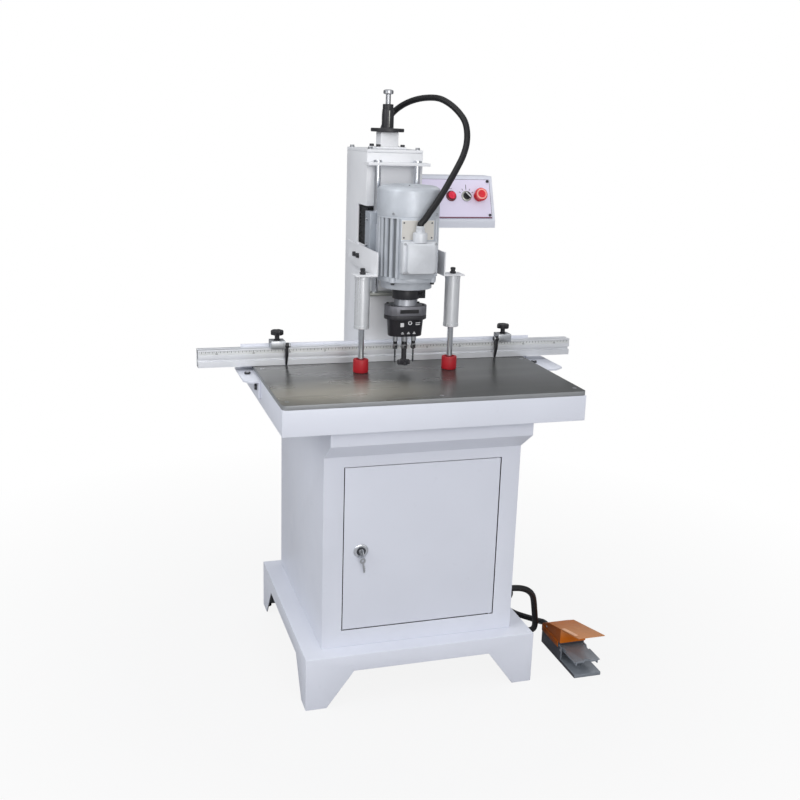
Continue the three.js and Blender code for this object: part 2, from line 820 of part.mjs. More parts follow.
function makeFence() {
  const half = fenceLength / 2;
  const scaleTopZ = fenceTopZ - scaleBandDrop;
  const scaleLowZ = scaleTopZ - scaleBandHeight;
  const grooveLowZ = fenceBottomZ + grooveRise;
  const grooveTopZ = grooveLowZ + grooveHeight;
  const slotFrontY = fenceSlotY - fenceSlotWidth / 2;
  const slotBackY = fenceSlotY + fenceSlotWidth / 2;
  const profile = [
    [fenceBackY, fenceBottomZ],
    [fenceFaceY, fenceBottomZ],
    [fenceFaceY, grooveLowZ],
    [fenceFaceY + grooveDepth, grooveLowZ],
    [fenceFaceY + grooveDepth, grooveTopZ],
    [fenceFaceY, grooveTopZ],
    [fenceFaceY, scaleLowZ],
    [fenceFaceY + scaleBandDepth, scaleLowZ],
    [fenceFaceY + scaleBandDepth, scaleTopZ],
    [fenceFaceY, scaleTopZ],
    [fenceFaceY, fenceTopZ],
    [slotFrontY, fenceTopZ],
    [slotFrontY, fenceTopZ - fenceSlotDepth],
    [slotBackY, fenceTopZ - fenceSlotDepth],
    [slotBackY, fenceTopZ],
    [fenceBackY, fenceTopZ],
  ];
  const rail = cut(
    prismAlongX(profile, -half, half),
    block(-half - cutRun, half + cutRun, fenceFaceY + grooveDepth + chamberWall, fenceBackY - chamberWall,
      fenceBottomZ + chamberWall, fenceTopZ - fenceSlotDepth - chamberWall),
  );
  addPart('fence_rail', rail, aluminium);

  addPart('fence_beam', block(-beamLength / 2, beamLength / 2, fenceBackY + seatGap,
    fenceBackY + seatGap + beamThickness, deckZ + seatGap, deckZ + seatGap + beamHeight), cream);
}

function makeFenceBracket(name, side, reach) {
  const innerX = tableWidth / 2 + seatGap;
  const outerX = innerX + reach;
  const [chamferX, chamferY] = bracketChamferShares;
  const backY = bracketFrontY + bracketLength;
  const wing = [
    [side * innerX, bracketFrontY],
    [side * (outerX - reach * chamferX), bracketFrontY],
    [side * outerX, bracketFrontY + bracketLength * chamferY],
    [side * outerX, backY],
    [side * innerX, backY],
  ];
  const flangeX = [side * innerX, side * (innerX + bracketThickness)].sort((a, b) => a - b);
  const headX = innerX + bracketThickness + bracketBoltHeight;
  const boltX = [side * innerX, side * headX].sort((a, b) => a - b);
  const boltY = bracketFrontY + bracketBoltSetback;
  const wingBoltX = side * (innerX + bracketReachLeft / 2);
  addPart(name, join(
    prismAlongZ(wing, deckZ - bracketThickness, deckZ),
    block(...flangeX, bracketFrontY, backY, deckZ - bracketDrop, deckZ),
    post(bracketBoltRadius, deckZ - bracketThickness, deckZ + bracketBoltHeight, wingBoltX,
      bracketFrontY + bracketLength / 2, slimSides),
    rodAlongX(bracketBoltRadius, ...boltX, boltY, deckZ - bracketDrop / 2, slimSides),
  ), cream);
}

// One fence stop: the side is -1 for the left one, and its blade hangs on the side that faces the spindles
function makeStop(label, side) {
  const x = side * stopX;
  const inward = -side;
  const bottomZ = fenceTopZ + seatGap;
  const topZ = bottomZ + stopBlockHeight;
  const frontY = fenceFaceY - stopOverhang;
  const pinY = frontY + stopPinInset;
  const pinZ = bottomZ + stopPinHeight;
  const order = (a, b) => (a < b ? [a, b] : [b, a]);
  const faceX = x + (inward * stopBlockLength) / 2;
  const hubNearX = faceX + inward * seatGap;
  const hubFarX = hubNearX + inward * bladeThickness;
  const headNearX = hubFarX + inward * seatGap;
  const headFarX = headNearX + inward * stopPinHeadLength;
  const keyHalf = fenceSlotWidth / 2 - seatGap;
  const screwBottomZ = topZ - knobScrewLength;
  const body = join(
    block(x - stopBlockLength / 2, x + stopBlockLength / 2, frontY, frontY + stopBlockDepth, bottomZ, topZ),
    block(x - stopBlockLength / 2, x + stopBlockLength / 2, fenceSlotY - keyHalf, fenceSlotY + keyHalf,
      bottomZ - stopKeyHeight, bottomZ + seatGap),
    rodAlongX(stopPinRadius, ...order(x, headFarX), pinY, pinZ, slimSides),
    rodAlongX(stopPinHeadRadius, ...order(headNearX, headFarX), pinY, pinZ, slimSides),
  );
  const screwY = frontY + stopBlockDepth / 2;
  addPart(`stop_block_${label}`, cut(
    body,
    post(knobScrewRadius + seatGap, screwBottomZ - seatGap, topZ + cutRun, x, screwY, slimSides),
  ), aluminium);

  const hub = rodAlongX(bladeHubRadius, ...order(hubNearX, hubFarX), pinY, pinZ, midSides);
  const rootBackY = fenceFaceY - bladeFaceGap;
  const tipZ = tableHeight + bladeTipGap;
  const arm = prismAlongX([
    [rootBackY - bladeRootDepth, pinZ],
    [rootBackY - bladeRootDepth, (pinZ + tipZ) / 2],
    [rootBackY - bladeTipDepth, tipZ],
    [rootBackY, tipZ],
    [rootBackY, pinZ - bladeHubRadius / 2],
  ], ...order(hubNearX, hubFarX));
  addPart(`stop_blade_${label}`, cut(
    join(hub, arm),
    rodAlongX(stopPinRadius + seatGap, ...order(hubNearX - inward * cutRun, hubFarX + inward * cutRun),
      pinY, pinZ, slimSides),
  ), blackPlastic);

  const knobBottomZ = topZ + knobRise;
  const notches = Array.from({ length: knobNotches }, (_, i) => {
    const angle = (i * 2 * Math.PI) / knobNotches;
    return post(knobNotchRadius, knobBottomZ - cutRun, knobBottomZ + knobHeight + cutRun,
      x + (knobRadius + knobNotchRadius / 2) * Math.cos(angle),
      screwY + (knobRadius + knobNotchRadius / 2) * Math.sin(angle), slimSides);
  });
  addPart(`stop_knob_${label}`, join(
    cut(post(knobRadius, knobBottomZ, knobBottomZ + knobHeight, x, screwY, midSides), ...notches),
    post(knobStemRadius, topZ + seatGap, knobBottomZ + knobHeight / 2, x, screwY, slimSides),
    post(knobScrewRadius, screwBottomZ, knobBottomZ, x, screwY, slimSides),
  ), blackPlastic);
}

// Column with its window for the carriage, and the cap that holds the feed cylinder
function makeColumn() {
  const half = columnWidth / 2;
  const wall = columnWall;
  addPart('column', cut(
    block(-half, half, columnFrontY, columnBackY, columnBottomZ, columnTopZ),
    block(-half + wall, half - wall, columnFrontY + wall, columnBackY - wall,
      columnBottomZ + columnBaseThickness, columnTopZ + cutRun),
    block(-half - cutRun, half + cutRun, columnFrontY - cutRun, columnFrontY + windowDepth,
      windowBottomZ, windowBottomZ + windowHeight),
    post(cableHoleRadius, columnBottomZ - cutRun, columnBottomZ + columnBaseThickness + cutRun, 0, feedY,
      midSides),
  ), cream);

  const barrelHole = barrelWidth / 2 + seatGap;
  const boltRows = [columnFrontY + capBoltInset, columnBackY - capBoltInset];
  const bolts = [-1, 1].flatMap((side) => boltRows.map((y) =>
    post(capBoltRadius, capTopZ - cutRun, capTopZ + capBoltHeight, side * (half - capBoltInset), y,
      hexSides)));
  addPart('column_cap', cut(
    join(
      block(-half, half, columnFrontY, columnBackY, capBottomZ, capTopZ),
      post(capGlandRadius, capTopZ - cutRun, capGlandTopZ, capGlandSide, capGlandY, slimSides),
      ...bolts,
    ),
    block(-barrelHole, barrelHole, feedY - barrelHole, feedY + barrelHole, capBottomZ - cutRun,
      capTopZ + cutRun),
    post(capGlandBore, capBottomZ - cutRun, capGlandTopZ + cutRun, capGlandSide, capGlandY, slimSides),
  ), cream);
}

// Feed cylinder: a square barrel hung in the cap, with a rod through both ends
function makeFeed() {
  const half = barrelWidth / 2;
  const flangeHalf = flangeWidth / 2;
  const flangeZ = capTopZ + seatGap;
  const rodBore = feedRodRadius + seatGap;
  const bolts = [-1, 1].flatMap((sideX) => [-1, 1].map((sideY) =>
    post(capBoltRadius, flangeZ, flangeZ + flangeThickness + capBoltHeight,
      (sideX * flangeBoltSpacing) / 2, feedY + (sideY * flangeBoltSpacing) / 2, hexSides)));
  addPart('feed_cylinder', cut(
    join(
      block(-half, half, feedY - half, feedY + half, barrelBottomZ, barrelTopZ),
      block(-flangeHalf, flangeHalf, feedY - flangeHalf, feedY + flangeHalf, flangeZ,
        flangeZ + flangeThickness),
      ...bolts,
    ),
    post(barrelBoreRadius, barrelBottomZ + barrelEnd, barrelTopZ - barrelEnd, 0, feedY, midSides),
    post(rodBore, barrelBottomZ - cutRun, barrelTopZ + cutRun, 0, feedY, slimSides),
  ), cream);

  const sleeveStepZ = sleeveBottomZ + sleeveLowHeight;
  addPart('depth_stop', cut(
    turned([
      [0, stopDiscBottomZ],
      [stopDiscRadius, stopDiscBottomZ],
      [stopDiscRadius, sleeveBottomZ],
      [sleeveLowRadius, sleeveBottomZ],
      [sleeveLowRadius, sleeveStepZ],
      [sleeveHighRadius, sleeveStepZ],
      [sleeveHighRadius, sleeveTopZ],
      [0, sleeveTopZ],
    ], 0, feedY, midSides),
    post(rodBore, stopDiscBottomZ - cutRun, sleeveTopZ + cutRun, 0, feedY, slimSides),
    block(-sleeveSlotWidth / 2, sleeveSlotWidth / 2, feedY - stopDiscRadius, feedY,
      sleeveBottomZ + stopDiscThickness / 2, sleeveTopZ + cutRun),
  ), blackPlastic);

  const pistonBottomZ = barrelBottomZ + barrelEnd + seatGap;
  addPart('feed_rod', join(
    post(feedRodRadius, armTopZ - rodSocketDepth, nutBottomZ + nutHeight, 0, feedY, slimSides),
    post(barrelBoreRadius - seatGap, pistonBottomZ, pistonBottomZ + pistonHeight, 0, feedY, midSides),
    post(nutRadius, nutBottomZ, nutBottomZ + nutHeight, 0, feedY, slimSides),
  ), steel);
}

// Guide rods between two plates bolted to the column's face
function makeGuides() {
  const backY = columnFrontY - seatGap;
  const plate = (width, z) => {
    const topZ = z + rodPlateThickness;
    const bores = [-1, 1].map((side) => post(guideRadius + seatGap, z - cutRun, topZ + cutRun,
      (side * guideSpacing) / 2, guideY, midSides));
    return cut(block(-width / 2, width / 2, backY - rodPlateDepth, backY, z, topZ), ...bores);
  };
  addPart('rod_plate_upper', plate(rodPlateWidth, upperPlateZ), cream);
  addPart('rod_plate_lower', plate(lowPlateWidth, lowerPlateZ), steel);
  const headZ = upperPlateZ + rodPlateThickness + seatGap;
  for (const [label, side] of [['left', -1], ['right', 1]]) {
    const x = (side * guideSpacing) / 2;
    addPart(`guide_rod_${label}`, join(
      post(guideRadius, lowerPlateZ, headZ + rodHeadHeight / 2, x, guideY, midSides),
      post(rodHeadRadius, headZ, headZ + rodHeadHeight, x, guideY, slimSides),
    ), steel);
  }
}

function makeCarriage() {
  const half = carriageWidth / 2;
  const armHalf = carriageArmWidth / 2;
  const bores = [-1, 1].map((side) => post(guideRadius + seatGap, carriageBottomZ - cutRun,
    carriageBottomZ + carriageHeight + cutRun, (side * guideSpacing) / 2, guideY, midSides));
  addPart('carriage', cut(
    join(
      block(-half, half, carriageFrontY, carriageBackY, carriageBottomZ, carriageBottomZ + carriageHeight),
      block(-armHalf, armHalf, carriageBackY - carriageDepth / 2, feedY + carriageArmPast, armBottomZ,
        armTopZ),
    ),
    ...bores,
    post(feedRodRadius + seatGap, armTopZ - rodSocketDepth - seatGap, armTopZ + cutRun, 0, feedY, slimSides),
  ), carriageGrey);
}

// Motor: finned body with a foot pad against the carriage, cowl over the fan, end bell and terminal box
function finOutline() {
  const points = [];
  const rootRadius = motorRadius - finDepth;
  for (let i = 0; i < finCount; i += 1) {
    const radii = [motorRadius, motorRadius, rootRadius, rootRadius];
    finShares.forEach((share, corner) => {
      const angle = ((i + share) * 2 * Math.PI) / finCount;
      points.push([radii[corner] * Math.cos(angle), spindleY + radii[corner] * Math.sin(angle)]);
    });
  }
  return points;
}

function makeMotor() {
  const footHalf = motorFootWidth / 2;
  const footBottomZ = motorBottomZ + motorFootRise;
  const plateHalf = nameplateWidth / 2;
  addPart('motor_body', cut(
    join(
      prismAlongZ(finOutline(), motorBottomZ, motorTopZ),
      block(-footHalf, footHalf, spindleY + motorBoreRadius, carriageFrontY - seatGap, footBottomZ,
        footBottomZ + motorFootHeight),
      block(-plateHalf, plateHalf, spindleY - motorRadius - nameplateReach, spindleY - motorBoreRadius,
        motorBottomZ, motorTopZ),
    ),
    post(motorBoreRadius, motorBottomZ - cutRun, motorTopZ + cutRun, 0, spindleY, wideSides),
  ), castGrey);

  const shoulderZ = cowlBottomZ + cowlHeight * cowlShoulderShare;
  const edgeZ = cowlBottomZ + cowlHeight * cowlEdgeShare;
  const cowlTopZ = cowlBottomZ + cowlHeight;
  const crownRadius = motorRadius * cowlCrownShare;
  addPart('fan_cowl', turned([
    [motorRadius, cowlBottomZ],
    [motorRadius, shoulderZ],
    [crownRadius, edgeZ],
    [0, cowlTopZ],
    [0, cowlTopZ - cowlSkin],
    [crownRadius - cowlSkin, edgeZ - cowlSkin],
    [motorRadius - cowlSkin, shoulderZ],
    [motorRadius - cowlSkin, cowlBottomZ],
    [motorRadius, cowlBottomZ],
  ], 0, spindleY, wideSides), castGrey);

  const lugs = Array.from({ length: endLugCount }, (_, i) => {
    const angle = ((i + 0.5) * 2 * Math.PI) / endLugCount;
    return post(endLugRadius, endBellTopZ, endFlangeTopZ, endLugCircle * Math.cos(angle),
      spindleY + endLugCircle * Math.sin(angle), slimSides);
  });
  addPart('motor_end_bell', cut(
    join(
      turned([
        [0, endNoseBottomZ],
        [endNoseRadius, endNoseBottomZ],
        [endNoseRadius, endBellBottomZ],
        [endBellRadius, endBellBottomZ],
        [endBellRadius, endBellTopZ],
        [endFlangeRadius, endBellTopZ],
        [endFlangeRadius, endFlangeTopZ],
        [0, endFlangeTopZ],
      ], 0, spindleY, wideSides),
      ...lugs,
    ),
    post(shaftRadius + seatGap, endNoseBottomZ - cutRun, endFlangeTopZ + cutRun, 0, spindleY, midSides),
  ), castGrey);

  const half = terminalWidth / 2;
  const boxOutline = [
    [-half, terminalBackY],
    [-half, terminalFrontY + terminalCorner],
    [-half + terminalCorner, terminalFrontY],
    [half - terminalCorner, terminalFrontY],
    [half, terminalFrontY + terminalCorner],
    [half, terminalBackY],
  ];
  const bossTopZ = terminalTopZ + terminalBossHeight;
  addPart('terminal_box', join(
    prismAlongZ(boxOutline, terminalBottomZ, terminalTopZ),
    post(terminalBossRadius, terminalTopZ - cutRun, bossTopZ, 0, terminalGlandY, midSides),
    post(terminalGlandRadius, bossTopZ - cutRun, terminalGlandTopZ, 0, terminalGlandY, slimSides),
  ), castGrey);

  const fanBottomZ = motorTopZ + fanRise;
  const fanDiscTopZ = fanBottomZ + fanDiscHeight;
  const rotorBottomZ = motorBottomZ + rotorRise;
  const blades = Array.from({ length: fanBladeCount / 2 }, (_, i) => {
    const bladeReach = fanRadius - cutRun;
    const blade = block(-bladeReach, bladeReach, -fanBladeThickness / 2, fanBladeThickness / 2,
      fanDiscTopZ - fanDiscHeight / 2, fanDiscTopZ + fanBladeHeight);
    return blade.rotateZ((i * 2 * Math.PI) / fanBladeCount).translate(0, spindleY, 0);
  });
  addPart('motor_rotor', join(
    post(shaftRadius, shaftBottomZ, fanDiscTopZ + shaftTopAboveFan, 0, spindleY, midSides),
    post(rotorRadius, rotorBottomZ, rotorBottomZ + rotorHeight, 0, spindleY, midSides),
    post(fanRadius, fanBottomZ, fanDiscTopZ, 0, spindleY, midSides),
    ...blades,
  ), steel);
}

// Drill head with a stadium outline
function stadium(halfLength, halfDepth) {
  const straight = halfLength - halfDepth;
  const points = [];
  for (const side of [1, -1]) {
    for (let i = 0; i <= headOutlineSteps; i += 1) {
      const angle = (i / headOutlineSteps - 0.5) * Math.PI;
      points.push([
        side * (straight + halfDepth * Math.cos(angle)),
        spindleY + side * halfDepth * Math.sin(angle),
      ]);
    }
  }
  return points;
}

// A solid between two outlines of equal count, one above the other
function tapered(lowPoints, highPoints, z0, z1) {
  const count = lowPoints.length;
  const positions = [...lowPoints.map(([x, y]) => [x, y, z0]), ...highPoints.map(([x, y]) => [x, y, z1])];
  const faces = THREE.ShapeUtils.triangulateShape(lowPoints.map(([x, y]) => new THREE.Vector2(x, y)), []);
  const index = [];
  for (const [a, b, c] of faces) {
    index.push(a, c, b, a + count, b + count, c + count);
  }
  for (let i = 0; i < count; i += 1) {
    const next = (i + 1) % count;
    index.push(i, next, next + count, i, next + count, i + count);
  }
  const geometry = new THREE.BufferGeometry();
  geometry.setAttribute('position', new THREE.Float32BufferAttribute(positions.flat(), 3));
  return geometry.setIndex(index);
}

function makeHead() {
  const ringBottomZ = ringTopZ - ringHeight;
  const lugHalf = ringLugWidth / 2;
  addPart('clamp_ring', cut(
    join(
      post(ringRadius, ringBottomZ, ringTopZ, 0, spindleY, midSides),
      block(neckRadius, ringRadius + ringLugReach, spindleY - lugHalf, spindleY + lugHalf, ringBottomZ,
        ringTopZ),
    ),
    post(neckRadius + seatGap, ringBottomZ - cutRun, ringTopZ + cutRun, 0, spindleY, wideSides),
    block(0, ringRadius + ringLugReach + cutRun, spindleY - ringSlit / 2, spindleY + ringSlit / 2,
      ringBottomZ - cutRun, ringTopZ + cutRun),
  ), blackPlastic);

  const sideSeats = [-1, 1].map((side) => post(sideShaftRadius + seatGap, coverBottomZ - cutRun,
    coverBottomZ + sideShaftSeat + seatGap, side * spindleSpacing, spindleY, slimSides));
  addPart('gearbox_cover', cut(
    join(
      prismAlongZ(stadium(headHalfLength, headHalfDepth), coverBottomZ, coverTopZ),
      post(neckRadius, coverTopZ - cutRun, neckTopZ, 0, spindleY, wideSides),
    ),
    post(shaftRadius + seatGap, coverBottomZ - cutRun, neckTopZ + cutRun, 0, spindleY, midSides),
    ...sideSeats,
  ), aluminium);

  const bandBottomZ = housingTopZ - bandHeight;
  const highHalfLength = headHalfLength - taperInset;
  const highHalfDepth = headHalfDepth - taperInset;
  const spindleBores = [
    [-spindleSpacing, sideShaftRadius],
    [0, centreShaftRadius],
    [spindleSpacing, sideShaftRadius],
  ].map(([x, radius]) =>
    post(radius + seatGap, housingBottomZ - cutRun, housingTopZ, x, spindleY, slimSides));
  addPart('gearbox_housing', cut(
    join(
      prismAlongZ(stadium(headHalfLength, headHalfDepth), bandBottomZ, housingTopZ),
      tapered(stadium(highHalfLength - taperDraft, highHalfDepth - taperDraft),
        stadium(highHalfLength, highHalfDepth), housingBottomZ, bandBottomZ + cutRun),
    ),
    prismAlongZ(stadium(pocketHalfLength, pocketHalfDepth), pocketFloorZ, housingTopZ + cutRun),
    ...spindleBores,
  ), blackPlastic);
}

// One pinion of the gear train, turned by a half tooth where it meshes beside the centre one
function gear(x, turn) {
  const pitchRadius = spindleSpacing / 2;
  const radii = [pitchRadius - gearDedendum, pitchRadius + gearAddendum, pitchRadius + gearAddendum,
    pitchRadius - gearDedendum];
  const points = [];
  for (let i = 0; i < gearTeeth; i += 1) {
    toothShares.forEach((share, corner) => {
      const angle = ((i + share - 0.5 + turn) * 2 * Math.PI) / gearTeeth;
      points.push([x + radii[corner] * Math.cos(angle), spindleY + radii[corner] * Math.sin(angle)]);
    });
  }
  return prismAlongZ(points, gearBottomZ, gearBottomZ + gearHeight);
}

function makeSpindles() {
  const bitTopZ = chuckBottomZ + bitShankLength;
  addPart('spindle_centre', cut(
    join(
      gear(0, 0),
      post(centreShaftRadius, chuckTopZ - cutRun, coverTopZ, 0, spindleY, slimSides),
      post(centreChuckRadius, chuckBottomZ, chuckTopZ, 0, spindleY, slimSides),
    ),
    post(bitShankRadius + seatGap, chuckBottomZ - cutRun, bitTopZ + seatGap, 0, spindleY, slimSides),
  ), steel);

  const bodyTopZ = chuckBottomZ - seatGap;
  const cutterTopZ = bodyTopZ - bitBodyLength;
  addPart('hinge_bit', join(
    post(bitShankRadius, bodyTopZ - cutRun, bitTopZ, 0, spindleY, slimSides),
    post(bitBodyRadius, cutterTopZ - cutRun, bodyTopZ, 0, spindleY, slimSides),
    post(cutterRadius, cutterTopZ - cutterHeight, cutterTopZ, 0, spindleY, midSides),
  ), blackPlastic);

  for (const [label, side] of [['left', -1], ['right', 1]]) {
    const x = side * spindleSpacing;
    addPart(`spindle_${label}`, join(
      gear(x, 0.5),
      post(sideShaftRadius, chuckTopZ - cutRun, coverBottomZ + sideShaftSeat, x, spindleY, slimSides),
      post(sideChuckRadius, chuckBottomZ, chuckTopZ, x, spindleY, slimSides),
      post(sideDrillRadius, chuckBottomZ - sideDrillLength, chuckBottomZ + cutRun, x, spindleY, slimSides),
    ), steel);
  }
}

// One hold-down clamp: bracket on the column's side, air cylinder under its tab, rod and rubber pad
function makeClamp(label, side) {
  const x = side * clampX;
  const order = (a, b) => (a < b ? [a, b] : [b, a]);
  const plateOuterX = clampPlateX + clampPlateThickness;
  const plateTopZ = clampTabZ + clampPlateHeight;
  const padTopZ = plateTopZ - clampPadDrop;
  const padMidZ = padTopZ - clampPadHeight / 2;
  const boltMidY = clampPlateBackY - clampPadDepth / 2;
  const bolts = [-1, 1].map((step) => rodAlongX(clampBoltRadius,
    ...order(side * clampPlateX, side * (plateOuterX + clampBoltHeight)),
    boltMidY + (step * clampBoltSpacing) / 2, padMidZ, slimSides));
  addPart(`clamp_bracket_${label}`, cut(
    join(
      block(...order(side * clampPlateX, side * plateOuterX), clampPlateFrontY, clampPlateBackY, clampTabZ,
        plateTopZ),
      block(...order(side * clampPlateX, side * clampTabOuterX), clampPlateFrontY,
        clampPlateFrontY + clampTabLength, clampTabZ, clampTabZ + clampPlateThickness),
      block(...order(side * (columnWidth / 2 + seatGap), side * plateOuterX),
        clampPlateBackY - clampPadDepth, clampPlateBackY, padTopZ - clampPadHeight, padTopZ),
      ...bolts,
    ),
    post(fittingRadius + seatGap, clampTabZ - cutRun, clampTabZ + clampPlateThickness + cutRun, x, clampY,
      slimSides),
  ), cream);

  addPart(`clamp_cylinder_${label}`, cut(
    join(
      post(clampBarrelRadius, clampBarrelBottomZ, clampBarrelTopZ, x, clampY, midSides),
      post(clampCapRadius, clampBarrelTopZ - clampCapHeight, clampBarrelTopZ, x, clampY, midSides),
      post(clampCapRadius, clampBarrelBottomZ, clampBarrelBottomZ + clampCapHeight, x, clampY, midSides),
      post(fittingRadius, clampBarrelTopZ - cutRun, clampTabZ + clampPlateThickness + fittingHeight,
        x, clampY, slimSides),
    ),
    post(clampBoreRadius, clampBarrelBottomZ + clampWall, clampBarrelTopZ - clampWall, x, clampY, midSides),
    post(clampRodRadius + seatGap, clampBarrelBottomZ - cutRun, clampBarrelBottomZ + clampWall + cutRun, x,
      clampY, slimSides),
  ), aluminium);

  const socketZ = padBottomZ + padHeight - padSocketDepth;
  const pistonZ = clampBarrelBottomZ + clampWall + clampPistonLift;
  addPart(`clamp_rod_${label}`, join(
    post(clampRodRadius, socketZ + seatGap, pistonZ + clampPistonHeight, x, clampY, slimSides),
    post(clampBoreRadius - seatGap, pistonZ, pistonZ + clampPistonHeight, x, clampY, midSides),
  ), steel);

  addPart(`clamp_pad_${label}`, cut(
    post(padRadius, padBottomZ, padBottomZ + padHeight, x, clampY, midSides),
    post(clampRodRadius + seatGap, socketZ, padBottomZ + padHeight + cutRun, x, clampY, slimSides),
  ), clampRed);
}

// Control box: the panel and its controls share a group that leans back with the box's face
function makeControlBox() {
  const topZ = boxBottomZ + boxHeight;
  const backY = boxFrontY + boxDepth;
  const panelHeadY = boxFrontY + panelLean;
  const panelHeadZ = panelFootZ + panelRise;
  const outline = (skin) => [
    [backY - skin, boxBottomZ + skin],
    [boxFrontY + skin, boxBottomZ + skin],
    [boxFrontY + skin, panelFootZ],
    [panelHeadY + skin, panelHeadZ],
    [panelHeadY + skin * 2, topZ - skin],
    [backY - skin, topZ - skin],
  ];
  const leaning = new THREE.Group();
  leaning.position.set(boxLeftX, boxFrontY, panelFootZ);
  leaning.rotation.x = -panelTilt;
  leaning.updateMatrix();
  machine.add(leaning);

  const controlZ = panelSlope * controlRiseShare;
  const controls = Array.from({ length: controlCount }, (_, i) => controlFirst + i * controlPitch);
  const stemHole = (x) => rodAlongY(buttonStemRadius + seatGap, -panelThickness - bezelHeight - cutRun,
    buttonStemLength, x, controlZ, slimSides);
  addPart('control_box', cut(
    prismAlongX(outline(0), boxLeftX, boxRightX),
    prismAlongX(outline(boxWall), boxLeftX + boxWall, boxRightX - boxWall),
    post(boxCableRadius, boxBottomZ - cutRun, boxBottomZ + boxWall + cutRun, boxLeftX + boxCableInset,
      backY - boxCableInset, slimSides),
    ...controls.map((x) => stemHole(x).applyMatrix4(leaning.matrix)),
  ), cream);

  const panelBackY = -seatGap;
  const panelFaceY = panelBackY - panelThickness;
  const bezels = controls.map((x) => rodAlongY(bezelRadius, panelFaceY - bezelHeight, panelBackY,
    x, controlZ, midSides));
  addPart('control_panel', cut(
    join(
      block(panelMarginX, boxWidth - panelMarginX, panelFaceY, panelBackY, panelMarginZ,
        panelSlope - panelMarginZ),
      ...bezels,
    ),
    ...controls.map((x) => rodAlongY(buttonStemRadius + seatGap, panelFaceY - bezelHeight - cutRun,
      panelBackY + cutRun, x, controlZ, slimSides)),
  ), cream, leaning);

  const bezelFaceY = panelFaceY - bezelHeight;
  const stemBackY = buttonStemLength - cutRun;
  const push = (x) => {
    const capBackY = bezelFaceY - buttonStand;
    return join(
      rodAlongY(buttonRadius, capBackY - buttonHeight, capBackY, x, controlZ, midSides),
      rodAlongY(buttonStemRadius, capBackY - seatGap, stemBackY, x, controlZ, slimSides),
    );
  };
  addPart('start_button', push(controls[0]), buttonGreen, leaning);
  addPart('stop_button', push(controls[1]), buttonRed, leaning);

  const dialBackY = bezelFaceY - seatGap;
  const dialFaceY = dialBackY - selectorHeight;
  addPart('selector_switch', join(
    rodAlongY(selectorRadius, dialFaceY, dialBackY, controls[2], controlZ, midSides),
    rodAlongY(buttonStemRadius, dialBackY - seatGap, stemBackY, controls[2], controlZ, slimSides),
    block(controls[2] - selectorGripWidth / 2, controls[2] + selectorGripWidth / 2,
      dialFaceY - selectorGripHeight, dialFaceY + seatGap,
      controlZ - selectorRadius, controlZ + selectorRadius),
  ), blackPlastic, leaning);

  const headBackY = bezelFaceY - mushroomStand;
  const headFaceY = headBackY - mushroomHeight;
  const head = new THREE.LatheGeometry([
    [0, headBackY],
    [mushroomRadius, headBackY],
    [mushroomRadius, headFaceY + mushroomCrown],
    [mushroomRadius - mushroomCrown, headFaceY],
    [0, headFaceY],
  ].map(([radius, y]) => new THREE.Vector2(radius, -y)), midSides);
  head.rotateX(Math.PI).translate(controls[3], 0, controlZ);
  addPart('emergency_stop', join(
    head,
    rodAlongY(buttonStemRadius, headBackY - seatGap, stemBackY, controls[3], controlZ, slimSides),
  ), buttonRed, leaning);
}

